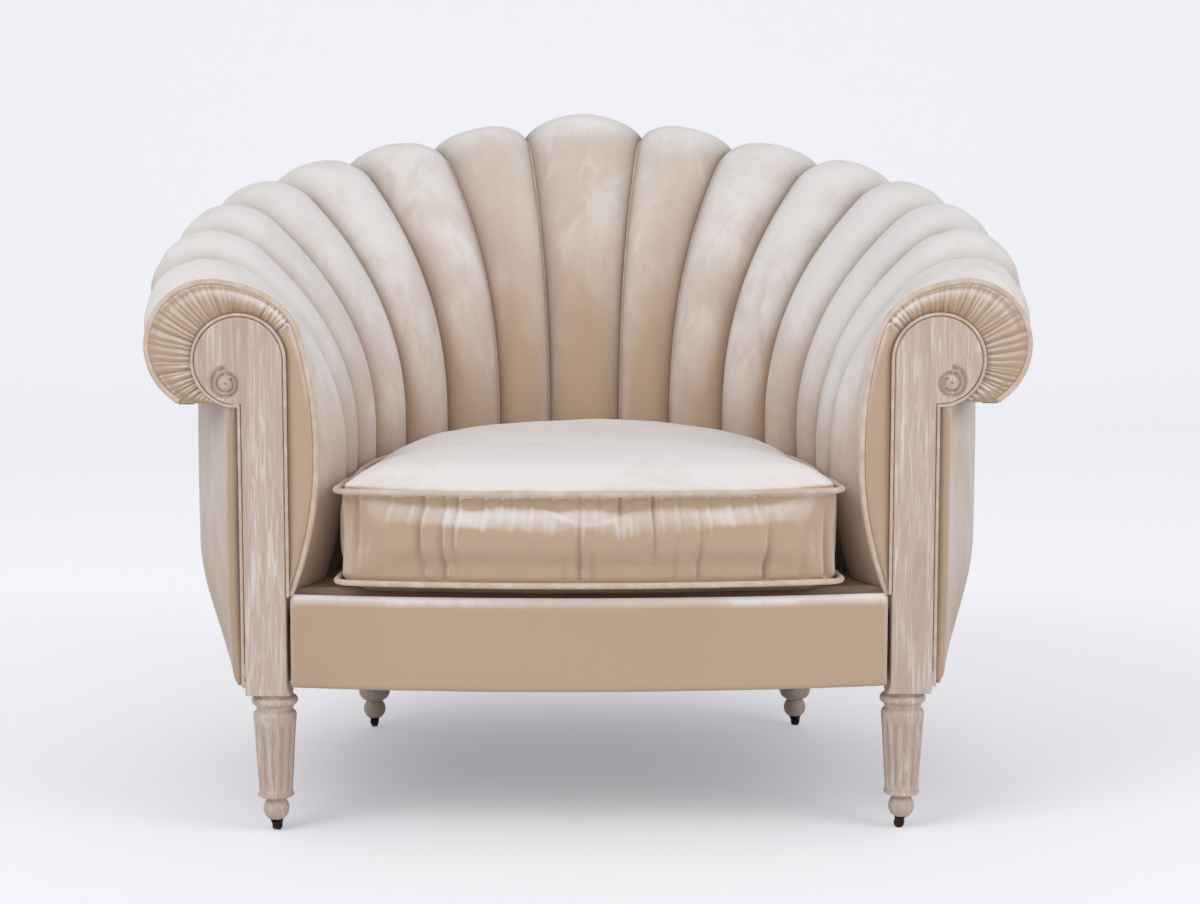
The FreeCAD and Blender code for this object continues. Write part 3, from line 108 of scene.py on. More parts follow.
class BackSettings(bpy.types.PropertyGroup):
    seat_half_width: length("Seat half width", 0.310, "Half the seat between the arms, at the valleys")
    seat_depth: length("Seat depth", 0.620, "From the posts to the inside of the back")
    seat_front_half: length("Seat mouth", 0.339, "Half the mouth of the seat at the arm fronts")
    seat_turn_depth: length("Seat turn", 0.150, "Where the arms begin to turn at seat level")
    seat_power: share("Seat squareness", 2.2, "Squareness of the seat in plan")
    seat_spread_power: share("Seat spread", 1.15, "How the channels widen towards the arms")
    crest_half_width: length("Crest half width", 0.487, "Half the width between the roll centres")
    crest_depth: length("Crest depth", 0.758, "From the posts to the centre of the back roll")
    crest_front_half: length("Crest mouth", 0.452, "Half the width between the rolls at the front")
    crest_turn_depth: length("Crest turn", 0.250, "Where the arm rolls begin to turn")
    crest_power: share("Crest squareness", 2.5, "Squareness of the crest in plan")
    height_front: length("Arm height", 0.676, "Top of the arm roll at the front")
    height_back: length("Back height", 0.892, "Top of the middle channel")
    rise_power: share("Rise", 1.18, "How the crest climbs from the arms to the back")
    radius_front: length("Arm roll", 0.080, "Radius of the arm roll at the front")
    radius_back: length("Back roll", 0.0575, "Radius of the roll along the back")
    swell_front: length("Arm swell", 0.115, "Reach of the arm roll towards the seat")
    swell_back: length("Back swell", 0.063, "Reach of the back roll towards the seat")
    tail_front: turn("Arm tail", 60, "How far the arm roll turns under")
    tail_back: turn("Back tail", 40, "How far the back roll turns under")
    lean_power: share("Lean", 2.3, "How late the inside face leans out")
    lean_start: length("Lean start", 0.453, "Height where the inside face begins to lean out")
    pairs: count("Channel pairs", 7, "Channels each side of the middle one")
    centre_half_seat: length("Middle at seat", 0.050, "Half the middle channel at the seat")
    centre_half_crest: length("Middle at crest", 0.088, "Half the middle channel at the crest")
    crown_seat: length("Crown at seat", 0.012, "How far a channel swells at the seat")
    crown_crest: length("Crown at crest", 0.022, "How far a channel swells over the roll")
    padding: length("Padding", 0.0175, "Padding behind the valleys")
    undercut: length("Undercut", 0.030, "How far the arm front draws back below the seat")
    valley: length("Valley", 0.012, "Depth of the sewn valley between two channels")
    valley_cord: length("Valley cord", 0.0021, "Radius of the thin cord sewn into a valley")
    columns: count("Columns", 26, "Faces across a channel")
    rows: count("Rows", 112, "Faces along a channel")


class PanelSettings(bpy.types.PropertyGroup):
    half_width: length("Half width", 0.508, "Half the width over the outside panels")
    depth: length("Depth", 0.790, "From the posts to the outside of the back panel")
    front_half: length("Front half", 0.429, "Half the width over the panels at the posts")
    turn_depth: length("Turn", 0.320, "Where the panels begin to turn")
    power: share("Squareness", 2.6, "Squareness of the panels in plan")
    base_half_width: length("Foot half width", 0.454, "Half the width at the bottom edge")
    base_depth: length("Foot depth", 0.742, "From the posts to the bottom edge of the back")
    tuck: length("Tuck height", 0.340, "Below this height the panels curve under")
    thickness: length("Thickness", 0.0115, "Padded panel")
    seam_place: share("Seam", 3.0, "Channel behind which the back panel ends")


class TrimSettings(bpy.types.PropertyGroup):
    welt: length("Welt", 0.0036, "Radius of the velvet piping")
    gimp_bead: length("Gimp bead", 0.0026, "Half the thickness of the twisted gimp")
    gimp_pitch: length("Gimp pitch", 0.0030, "From one turn of the gimp to the next")
    facing_back: length("Facing", 0.007, "Arm facing behind the front of its post")
    ruche_back: length("Gathers", 0.003, "Gathered ring behind the front of its post")
    ruche_folds: count("Folds", 44, "Gathers round the arm front")
    ruche_depth: length("Fold depth", 0.0042, "Depth of the gathers")
    fold_angle: turn("First fold", 142, "Direction from the scroll in which the gathers begin")


class CushionSettings(bpy.types.PropertyGroup):
    front_half: length("Front half", 0.305, "Half the front of the cushion")
    bow: length("Bow", 0.038, "Cushion front before the posts")
    side_depth: length("Corner depth", 0.006, "Front corners before the posts")
    corner: length("Corner", 0.024, "Rounded front corners")
    lower_seam: length("Lower seam", 0.313, "Height of the lower piping")
    upper_seam: length("Upper seam", 0.423, "Height of the upper piping")
    crown: length("Crown", 0.033, "Rise of the top above its piping")
    crown_power: share("Crown flatness", 6.0, "How flat the top is")
    voxel: length("Voxel", 0.005, "Mesh size of the simulated cloth")
    pressure: share("Pressure", 4.0, "Stuffing pressure in the simulation")
    swell_cap: length("Swell cap", 0.006, "Furthest that the stuffing moves the cloth")
    puckers: count("Puckers", 110, "Gathers round the boxing")
    pucker_depth: length("Pucker depth", 0.0062, "Depth of the gathers")


class WoodSettings(bpy.types.PropertyGroup):
    post_inner: length("Post inner edge", 0.366, "Inner edge of a post from the middle")
    post_width: length("Post width", 0.050, "Width of a post")
    scroll_radius: length("Scroll", 0.0525, "Round head of a post")
    scroll_height: length("Scroll height", 0.5785, "Centre of the round head")
    scroll_drop: length("Ledge", 0.0515, "Ledge below the centre of the round head")
    edge: length("Edge", 0.0022, "Eased edges of a post")
    volute_across: length("Volute across", 0.015, "Volute centre outside the scroll centre")
    volute_drop: length("Volute drop", 0.0275, "Volute centre below the scroll centre")
    volute_radius: length("Volute", 0.0190, "Outer turn of the carved volute")
    volute_sink: length("Volute depth", 0.0048, "Depth of the carving")
    foot_flare: length("Foot flare", 0.004, "How far the foot of a post spreads")
    leg_height: length("Leg height", 0.173, "Floor to the foot of a post")
    flutes: count("Flutes", 12, "Flutes round a front leg")
    flute_depth: length("Flute depth", 0.0024, "Depth of a flute")
    turning_sides: count("Sides", 96, "Faces round a turned leg")


class FinishSettings(bpy.types.PropertyGroup):
    # Pale velvet: the painted highlight where the velvet faces up or is seen at a grazing angle, and worn
    # patches on the piping.
    velvet_highlight_and_wear: colour("Velvet light", "F2EEED", "Velvet brushed up")
    velvet_mid: colour("Velvet", "C2A991", "Velvet at rest")
    velvet_dark: colour("Velvet dark", "B0947C", "Velvet brushed down")
    # Painted shade in the folds, valleys, gathers and tails of the velvet.
    velvet_fold_shade: colour("Velvet fold", "7A604F", "Velvet in a fold")
    piping: colour("Piping", "D0B9A2", "Cream piping")
    oak_light: colour("Oak light", "E2DAD5", "Lime in the grain")
    oak_mid: colour("Oak", "C9B5A7", "Limed oak")
    # Darker grain of the oak and beech, and painted shade in the carved hollows and flutes.
    oak_grain_and_hollow_shade: colour("Oak dark", "AA9080", "Bare oak in the hollows")
    bronze: colour("Bronze", "3A2A26", "Dark bronze")
    bronze_worn: colour("Worn bronze", "6A4E3C", "Rubbed edges of the bronze")
    beech: colour("Beech", "C9A378", "Hidden frame")
    jute: colour("Jute", "A98F62", "Webbing")
    deck: colour("Deck cloth", "BFA896", "Cloth under the cushion")
    dust: colour("Dust cloth", "2A2A2C", "Cloth under the frame")


class StageSettings(bpy.types.PropertyGroup):
    floor_colour: colour("Floor", "ECEDF2", "Seamless floor and backdrop")
    floor_reach: length("Floor reach", 14.0, "How far the floor runs to each side")
    backdrop_back: length("Backdrop", 4.5, "How far behind the chair the floor turns up")
    backdrop_bend: length("Bend", 1.5, "Radius where the floor turns up")
    camera_place: spot_at("Camera", (-0.0332, -3.2165, 0.7877), "Where the camera stands")
    camera_pitch: turn("Pitch", -6.423, "How far the camera looks up")
    camera_yaw: turn("Yaw", -0.926, "How far the camera turns to the left")
    focal_pixels: share("Focal length", 2378.5, "In pixels of the photograph")
    key_power: share("Key", 46.0, "Watts of the large soft lamp above the left")
    fill_power: share("Fill", 30.0, "Watts of the soft lamp on the right")
    front_power: share("Front", 16.0, "Watts of the soft lamp behind the camera")
    sky_strength: share("Sky", 0.5, "Even light from all round")
    near_light: share("Near floor", 0.20, "Light that the camera adds to the floor before the chair")
    far_light: share("Backdrop light", 0.46, "Light that the camera adds to the backdrop")


def settings(name):
    return getattr(bpy.context.scene, "armchair_" + name)


def mix(start, end, part):
    return start + (end - start) * part


def smooth(part):
    part = min(max(part, 0.0), 1.0)
    return part * part * (3 - 2 * part)


def steps(start, end, number):
    return [mix(start, end, step / number) for step in range(number + 1)]


def heading(angle):
    return Vector((math.cos(angle), math.sin(angle)))


# Plan curves and the section of the back, as the frame has them

POST_CLEARANCE = 0.0003
CROWN_AT_SWELL = 0.4
STEEPEST_FACE = math.radians(85)
HALVINGS = 36
LAST_STAGE = 3


class PlanCurve:
    """Half a horseshoe seen from above, from the middle of the back to the arm front."""

    def __init__(self, half_width, depth, front_half, turn_depth, power, front=0.0, parts=120):
        self.spots = []
        for angle in steps(0, math.pi / 2, parts):
            across = half_width * math.sin(angle) ** (2 / power)
            back = turn_depth + (depth - turn_depth) * max(math.cos(angle), 0.0) ** (2 / power)
            self.spots.append(Vector((across, back)))
        for part in steps(0, 1, parts // 2)[1:]:
            across = half_width + (front_half - half_width) * part ** 2
            self.spots.append(Vector((across, mix(turn_depth, front, part))))
        self.ways = [0.0]
        for before, after in zip(self.spots, self.spots[1:]):
            self.ways.append(self.ways[-1] + (after - before).length)
        self.length = self.ways[-1]

    def at(self, way):
        low, high = 1, len(self.ways) - 1
        while low < high:
            middle = (low + high) // 2
            if self.ways[middle] < way:
                low = middle + 1
            else:
                high = middle
        run = self.ways[low] - self.ways[low - 1]
        return self.spots[low - 1].lerp(self.spots[low], (way - self.ways[low - 1]) / run)

    def outward(self, way, reach=0.008):
        if way < TINY:
            return Vector((0.0, 1.0))
        run = self.at(way + reach) - self.at(max(way - reach, 0.0))
        return Vector((-run.y, run.x)).normalized()

    def offset(self, way, out):
        return self.at(way) + self.outward(way) * out


class Back:
    """The seat and crest curves, shared by every section of the back."""

    def __init__(self):
        sizes = settings("back")
        self.sizes = sizes
        start = POST_DEPTH + POST_CLEARANCE
        self.seat = PlanCurve(sizes.seat_half_width, sizes.seat_depth, sizes.seat_front_half,
                              sizes.seat_turn_depth, sizes.seat_power, start)
        self.crest = PlanCurve(sizes.crest_half_width, sizes.crest_depth, sizes.crest_front_half,
                               sizes.crest_turn_depth, sizes.crest_power, start)
        self.edge = sizes.pairs + 0.5

    def way(self, curve, place, centre_half, power=1.0):
        if abs(place) <= 0.5:
            return 2 * abs(place) * centre_half
        part = (abs(place) - 0.5) / self.sizes.pairs
        return centre_half + part ** power * (curve.length - centre_half)

    def seat_way(self, place):
        return self.way(self.seat, place, self.sizes.centre_half_seat, self.sizes.seat_spread_power)

    def crown(self, stage):
        low, high = self.sizes.crown_seat, self.sizes.crown_crest
        middle = mix(low, high, CROWN_AT_SWELL)
        if stage <= 1:
            return mix(low, middle, stage)
        return mix(middle, high, min(stage - 1, 1.0))


class Section:
    """Valley line at a place: stages 0 to 1 up the face, 1 to 2 the swell and 2 to 3 over the roll."""

    def __init__(self, back, place):
        sizes = back.sizes
        self.sizes = sizes
        self.part = abs(place) / back.edge
        self.side = -1 if place < 0 else 1
        self.foot = back.seat.at(back.seat_way(place))
        crest = back.crest.at(back.way(back.crest, place, sizes.centre_half_crest))
        self.reach = (crest - self.foot).length
        self.outward = (crest - self.foot).normalized()
        crown = sizes.crown_crest
        self.radius = mix(sizes.radius_back, sizes.radius_front, self.part) - crown
        self.swell = mix(sizes.swell_back, sizes.swell_front, self.part) - crown
        height = sizes.height_back - (sizes.height_back - sizes.height_front) * self.part ** sizes.rise_power
        self.centre = height - crown - self.radius
        self.tail = mix(sizes.tail_back, sizes.tail_front, self.part)
        self.flare = self.find_flare()
        self.meet_out = self.reach - self.swell * math.cos(self.flare)
        self.meet_up = self.centre + self.radius * math.sin(self.flare)

    def find_flare(self):
        """Angle on the swell where the leaning face runs into it without a kink."""
        low, high = 0.0, STEEPEST_FACE
        for _ in range(HALVINGS):
            angle = (low + high) / 2
            climb = self.centre + self.radius * math.sin(angle) - self.sizes.lean_start
            out = self.reach - self.swell * math.cos(angle)
            if self.swell / self.radius * math.tan(angle) * climb < self.sizes.lean_power * out:
                low = angle
            else:
                high = angle
        return low

    def line(self, stage):
        """Out, up and the facing direction (out, up) at a stage from 0 to 3."""
        if stage <= 1:
            up = mix(CHANNEL_FOOT, self.meet_up, stage)
            start, power = self.sizes.lean_start, self.sizes.lean_power
            if up > start:
                part = (up - start) / (self.meet_up - start)
                out = self.meet_out * part ** power
                slope = power * self.meet_out / (self.meet_up - start) * part ** (power - 1)
            else:
                depth = (start - up) / (start - CHANNEL_FOOT)
                out = self.sizes.undercut * self.part * depth ** 2
                slope = -2 * self.sizes.undercut * self.part * depth / (start - CHANNEL_FOOT)
            scale = math.hypot(1, slope)
            return out, up, -1 / scale, slope / scale
        if stage <= 2:
            angle = mix(self.flare, math.pi / 2, stage - 1)
            out = self.reach - self.swell * math.cos(angle)
            up = self.centre + self.radius * math.sin(angle)
            run_out, run_up = self.swell * math.sin(angle), self.radius * math.cos(angle)
            scale = math.hypot(run_out, run_up)
            return out, up, -run_up / scale, run_out / scale
        angle = mix(math.pi / 2, -self.tail, stage - 2)
        return (self.reach + self.radius * math.cos(angle), self.centre + self.radius * math.sin(angle),
                math.cos(angle), math.sin(angle))

    def spot(self, stage, lift=0.0):
        """Place at a stage, raised from the valley line by a lift."""
        out, up, face_out, face_up = self.line(stage)
        level = self.foot + self.outward * (out + face_out * lift)
        return Vector((self.side * level.x, FRONT + level.y, up + face_up * lift))

    def tail_height(self):
        return self.centre - (self.radius + self.sizes.crown_crest) * math.sin(self.tail)


def even_stages(section, number, measured=300):
    """Stages evenly spaced along the line of a section."""
    fine = steps(0, LAST_STAGE, measured)
    ways = [0.0]
    spots = [section.spot(stage) for stage in fine]
    for before, after in zip(spots, spots[1:]):
        ways.append(ways[-1] + (after - before).length)
    stages, index = [], 0
    for way in steps(0, ways[-1], number):
        while index < len(ways) - 2 and ways[index + 1] < way:
            index += 1
        part = (way - ways[index]) / (ways[index + 1] - ways[index])
        stages.append(mix(fine[index], fine[index + 1], part))
    return stages


# Mesh helpers

def link(thing):
    bpy.context.scene.collection.objects.link(thing)
    return thing


def settled_mesh(thing):
    """Plain mesh of an object as its modifiers leave it."""
    graph = bpy.context.evaluated_depsgraph_get()
    return bpy.data.meshes.new_from_object(thing.evaluated_get(graph), depsgraph=graph)


def settle(piece, modifier):
    """Makes a modifier's result the piece's own mesh."""
    mesh = settled_mesh(piece)
    piece.modifiers.remove(modifier)
    piece.data = mesh


def store_painted_fold_shade(mesh, folds):
    """Stores how deep in a fold each spot lies, for painted shade there on the cloth and the oak."""
    layer = mesh.attributes.new("fold", "FLOAT", "POINT")
    layer.data.foreach_set("value", folds)


def mesh_object(name, spots, faces, folds=None):
    """New object with its place in its mesh."""
    mesh = bpy.data.meshes.new(name)
    mesh.from_pydata([tuple(spot) for spot in spots], [], faces)
    # The fold values are painted shade, darker in folds, valleys and hollows.
    if folds:
        store_painted_fold_shade(mesh, folds)
    mesh.validate()
    mesh.update()
    for polygon in mesh.polygons:
        polygon.use_smooth = True
    return link(bpy.data.objects.new(name, mesh))


def outward_faces(piece, sharp=None):
    """Turns all faces outwards, and keeps the sharp edges of a hard piece crisp."""
    bpy.context.view_layer.objects.active = piece
    for thing in bpy.context.selected_objects:
        thing.select_set(False)
    piece.select_set(True)
    bpy.ops.object.mode_set(mode="EDIT")
    bpy.ops.mesh.select_all(action="SELECT")
    bpy.ops.mesh.remove_doubles(threshold=TINY)
    bpy.ops.mesh.normals_make_consistent(inside=False)
    bpy.ops.object.mode_set(mode="OBJECT")
    if sharp is not None:
        piece.data.set_sharp_from_angle(angle=math.radians(sharp))
    piece.select_set(False)
    return piece


def tube_faces(rings, around):
    """Faces over closed rings of spots, with a face over each end."""
    faces = []
    for ring in range(rings - 1):
        for index in range(around):
            after = (index + 1) % around
            faces.append((ring * around + index, ring * around + after,
                          (ring + 1) * around + after, (ring + 1) * around + index))
    faces.append(tuple(reversed(range(around))))
    faces.append(tuple(range((rings - 1) * around, rings * around)))
    return faces


def ring_solid(name, rings, sharp=None, folds=None):
    """Closed solid over rings of spots."""
    around = len(rings[0])
    spots = [spot for ring in rings for spot in ring]
    return outward_faces(mesh_object(name, spots, tube_faces(len(rings), around), folds), sharp)


def slab(name, near, far, sharp=None, folds=None):
    """Closed solid between two grids of spots that share their outline."""
    rows, columns = len(near), len(near[0])
    spots = [spot for row in near for spot in row] + [spot for row in far for spot in row]
    back = rows * columns
    faces = []
    for row in range(rows - 1):
        for column in range(columns - 1):
            one = row * columns + column
            quad = (one, one + 1, one + 1 + columns, one + columns)
            faces.append(quad)
            faces.append(tuple(index + back for index in reversed(quad)))
    rim = list(range(columns))
    rim += [row * columns + columns - 1 for row in range(1, rows)]
    rim += [(rows - 1) * columns + column for column in range(columns - 2, -1, -1)]
    rim += [row * columns for row in range(rows - 2, 0, -1)]
    for one, two in zip(rim, rim[1:] + rim[:1]):
        faces.append((two, one, one + back, two + back))
    return outward_faces(mesh_object(name, spots, faces, folds), sharp)


def finish_piece(piece, material, body, slot_name, *nodes):
    """Material, body and the nodes of the frame that a piece stands for; the slot name is not used."""
    piece.data.materials.clear()
    piece.data.materials.append(material)
    for polygon in piece.data.polygons:
        polygon.material_index = 0
    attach(piece, body)
    if nodes:
        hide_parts(*nodes)
    return piece


def ripple(spot, scale, amount, seed=0.0):
    """Gentle unevenness of hand-stuffed padding."""
    return amount * noise.noise(Vector((spot[0] * scale + seed, spot[1] * scale, spot[2] * scale)))


# Materials

class Shader:
    """Node helper for one material on Object coordinates."""

    def __init__(self, name):
        self.material = bpy.data.materials.new(name)
        self.material.use_nodes = True
        self.nodes = self.material.node_tree.nodes
        self.links = self.material.node_tree.links
        self.shader = self.nodes["Principled BSDF"]
        self.object_place = self.nodes.new("ShaderNodeTexCoord").outputs["Object"]

    def set(self, **values):
        for name, value in values.items():
            self.shader.inputs[name.replace("_", " ")].default_value = value

    def scaled(self, scale):
        mapping = self.nodes.new("ShaderNodeMapping")
        mapping.inputs["Scale"].default_value = scale
        self.links.new(self.object_place, mapping.inputs["Vector"])
        return mapping.outputs["Vector"]

    def noise(self, vector, scale, detail=3.0, roughness=0.5, distortion=0.0):
        node = self.nodes.new("ShaderNodeTexNoise")
        node.inputs["Scale"].default_value = scale
        node.inputs["Detail"].default_value = detail
        node.inputs["Roughness"].default_value = roughness
        node.inputs["Distortion"].default_value = distortion
        self.links.new(vector, node.inputs["Vector"])
        return node.outputs["Fac"]

    def wave(self, vector, scale, distortion, axis):
        node = self.nodes.new("ShaderNodeTexWave")
        node.bands_direction = axis
        node.inputs["Scale"].default_value = scale
        node.inputs["Distortion"].default_value = distortion
        self.links.new(vector, node.inputs["Vector"])
        return node.outputs["Fac"]

    def ramp(self, value, low, high):
        """Straight rise from 0 at a low value to 1 at a high one."""
        node = self.nodes.new("ShaderNodeMapRange")
        node.inputs["From Min"].default_value = low
        node.inputs["From Max"].default_value = high
        self.links.new(value, node.inputs["Value"])
        return node.outputs["Result"]

    def math(self, kind, first, second):
        node = self.nodes.new("ShaderNodeMath")
        node.operation = kind
        for socket, value in zip(node.inputs, (first, second)):
            if isinstance(value, (int, float)):
                socket.default_value = value
            else:
                self.links.new(value, socket)
        return node.outputs["Value"]

    def blend(self, factor, first, second):
        """Mix of two colours; the Mix node's colours are its inputs 6 and 7, and its output 2."""
        node = self.nodes.new("ShaderNodeMix")
        node.data_type = "RGBA"
        self.links.new(factor, node.inputs[0])
        for socket, value in zip(node.inputs[6:8], (first, second)):
            if hasattr(value, "links"):
                self.links.new(value, socket)
            else:
                socket.default_value = (*value, 1.0)
        return node.outputs[2]

    def base(self, value):
        self.links.new(value, self.shader.inputs["Base Color"])

    def bump(self, height, strength, distance):
        node = self.nodes.new("ShaderNodeBump")
        node.inputs["Strength"].default_value = strength
        node.inputs["Distance"].default_value = distance
        self.links.new(height, node.inputs["Height"])
        self.links.new(node.outputs["Normal"], self.shader.inputs["Normal"])

    def part_of(self, value, weight):
        return self.math("MULTIPLY", value, weight)

    def fold(self):
        """How deep in a fold a spot lies, from its mesh, for painted shade there."""
        node = self.nodes.new("ShaderNodeAttribute")
        node.attribute_name = "fold"
        return node.outputs["Fac"]


VELVET_PATCHES, VELVET_STROKES = 0.7, 0.3
VELVET_SIDEWAYS = 0.35
VELVET_BRUSHED, VELVET_NAP_TOP_HIGHLIGHT = 0.25, 0.75
VELVET_FOLD_SHADE, VELVET_FOLD_SHADE_POWER = 0.75, 1.5
VELVET_RIM, VELVET_RIM_BLEND = 0.22, 0.3
VELVET_SHEEN = 0.16
VELVET_PILE = 0.35


def velvet():
    """Champagne velvet: painted highlight where it faces up and at its rims, tan where it stands, painted
    shade in its folds.
    """
    finish = settings("finish")
    cloth = Shader("champagne_velvet")
    patches = cloth.noise(cloth.object_place, scale=5.0, detail=4.0, roughness=0.55, distortion=0.6)
    strokes = cloth.noise(cloth.scaled((30.0, 30.0, 12.0)), 1.0, detail=4.0, roughness=0.6, distortion=1.0)
    both = cloth.math("ADD", cloth.part_of(patches, VELVET_PATCHES), cloth.part_of(strokes, VELVET_STROKES))
    geometry = cloth.nodes.new("ShaderNodeNewGeometry")
    parts = cloth.nodes.new("ShaderNodeSeparateXYZ")
    cloth.links.new(geometry.outputs["Normal"], parts.inputs["Vector"])
    # Painted highlight: the velvet is painted paler where it faces up, and a little where it faces sideways,
    # as where the light falls on it.
    sideways = cloth.part_of(cloth.math("ABSOLUTE", parts.outputs["X"], 0.0), VELVET_SIDEWAYS)
    turned = cloth.math("ADD", parts.outputs["Z"], sideways)
    rest = cloth.blend(cloth.ramp(turned, 0.15, 0.90), finish.velvet_mid, finish.velvet_highlight_and_wear)
    brushed = cloth.blend(cloth.part_of(cloth.ramp(both, 0.50, 0.70), VELVET_BRUSHED), rest,
                          finish.velvet_dark)
    # Pale patches with a painted highlight: random patches, painted only where the velvet faces up.
    nap_top_highlight = cloth.math("MULTIPLY", cloth.ramp(both, 0.52, 0.42), cloth.ramp(turned, 0.15, 0.65))
    lit = cloth.blend(cloth.part_of(nap_top_highlight, VELVET_NAP_TOP_HIGHLIGHT), brushed, finish.velvet_highlight_and_wear)
    # Painted shade in folds, valleys, gathers and tails, read from the mesh.
    deep = cloth.part_of(cloth.math("POWER", cloth.fold(), VELVET_FOLD_SHADE_POWER), VELVET_FOLD_SHADE)
    shallow = cloth.math("SUBTRACT", 1.0, deep)
    # Painted highlight at the rims: paler where the velvet is seen at a grazing angle, except in the folds.
    weight = cloth.nodes.new("ShaderNodeLayerWeight")
    weight.inputs["Blend"].default_value = VELVET_RIM_BLEND
    edge = cloth.math("MULTIPLY", cloth.part_of(weight.outputs["Facing"], VELVET_RIM), shallow)
    cloth.base(cloth.blend(deep, cloth.blend(edge, lit, finish.velvet_highlight_and_wear), finish.velvet_fold_shade))
    cloth.set(Roughness=0.92, Sheen_Roughness=0.35, Specular_IOR_Level=0.06)
    cloth.links.new(cloth.part_of(shallow, VELVET_SHEEN), cloth.shader.inputs["Sheen Weight"])
    pile = cloth.noise(cloth.object_place, scale=1400.0, detail=2.0)
    height = cloth.math("ADD", cloth.part_of(pile, VELVET_PILE), strokes)
    cloth.bump(height, strength=0.12, distance=0.0010)
    return cloth.material


def piping_cloth():
    """Cream velvet cut on the bias."""
    finish = settings("finish")
    cloth = Shader("cream_piping")
    worn = cloth.part_of(cloth.ramp(cloth.noise(cloth.object_place, 60.0, detail=4.0), 0.4, 0.7), 0.35)
    cloth.base(cloth.blend(worn, finish.piping, finish.velvet_highlight_and_wear))
    cloth.set(Roughness=0.85, Sheen_Weight=0.12, Sheen_Roughness=0.4, Specular_IOR_Level=0.2)
    cloth.bump(cloth.noise(cloth.object_place, 900.0, detail=3.0), strength=0.2, distance=0.0008)
    return cloth.material


OAK_PORES, OAK_LIME = 0.7, 0.75
OAK_DARK, OAK_HOLLOW_SHADE = 0.45, 0.8
OAK_BROAD_RELIEF = 0.4


def limed_oak():
    """Open-grained oak with white lime left in its pores, and painted shade in the carved hollows and flutes.
    """
    finish = settings("finish")
    wood = Shader("limed_oak")
    broad = wood.noise(wood.scaled((34.0, 34.0, 3.0)), 1.0, detail=4.0, roughness=0.6, distortion=1.2)
    streaks = wood.noise(wood.scaled((330.0, 330.0, 12.0)), 1.0, detail=4.0, roughness=0.55, distortion=1.4)
    pores = wood.noise(wood.scaled((700.0, 700.0, 22.0)), 1.0, detail=3.0, roughness=0.6, distortion=0.8)
    thin = wood.math("MULTIPLY", wood.ramp(streaks, 0.50, 0.60), wood.ramp(broad, 0.36, 0.60))
    lime = wood.math("MAXIMUM", thin, wood.part_of(wood.ramp(pores, 0.60, 0.72), OAK_PORES))
    # Darker broad grain at random, and painted shade in the carved hollows and flutes.
    dark = wood.math("MAXIMUM", wood.part_of(wood.ramp(broad, 0.62, 0.30), OAK_DARK),
                     wood.part_of(wood.fold(), OAK_HOLLOW_SHADE))
    body = wood.blend(dark, finish.oak_mid, finish.oak_grain_and_hollow_shade)
    wood.base(wood.blend(wood.part_of(lime, OAK_LIME), body, finish.oak_light))
    wood.set(Roughness=0.62, Specular_IOR_Level=0.35)
    height = wood.math("SUBTRACT", wood.part_of(broad, OAK_BROAD_RELIEF), streaks)
    wood.bump(height, strength=0.45, distance=0.0007)
    return wood.material


def dark_bronze():
    """Dark bronze, rubbed brown here and there."""
    finish = settings("finish")
    metal = Shader("dark_bronze")
    rubbed = metal.noise(metal.object_place, 220.0, detail=4.0, roughness=0.6)
    metal.base(metal.blend(metal.ramp(rubbed, 0.55, 0.75), finish.bronze, finish.bronze_worn))
    metal.links.new(metal.ramp(rubbed, -0.6, 1.6), metal.shader.inputs["Roughness"])
    metal.set(Metallic=0.75)
    metal.bump(rubbed, strength=0.1, distance=0.0004)
    return metal.material


def plain_wood():
    """Planed beech of the hidden frame."""
    finish = settings("finish")
    wood = Shader("planed_beech")
    grain = wood.noise(wood.scaled((30.0, 30.0, 6.0)), 1.0, detail=5.0, roughness=0.6, distortion=0.6)
    wood.base(wood.blend(wood.part_of(wood.ramp(grain, 0.35, 0.7), 0.35), finish.beech, finish.oak_grain_and_hollow_shade))
    wood.set(Roughness=0.6)
    wood.bump(grain, strength=0.15, distance=0.0006)
    return wood.material


WEAVE_UNEVEN, WEAVE_SHADE = 0.6, 0.72


def woven(name, tint, scale, depth):
    """Plain weave: warp and weft as crossed waves."""
    cloth = Shader(name)
    warp = cloth.wave(cloth.object_place, scale, WEAVE_UNEVEN, "X")
    weft = cloth.wave(cloth.object_place, scale, WEAVE_UNEVEN, "Y")
    weave = cloth.math("MAXIMUM", warp, weft)
    dark = tuple(value * WEAVE_SHADE for value in tint)
    cloth.base(cloth.blend(weave, dark, tint))
    cloth.set(Roughness=0.95, Specular_IOR_Level=0.15)
    cloth.bump(weave, strength=0.4, distance=depth)
    return cloth.material


NEAR_FLOOR, FAR_FLOOR = -1.2, 1.4
FLOOR_MOTTLE = 0.1
WHITE = (1.0, 1.0, 1.0)


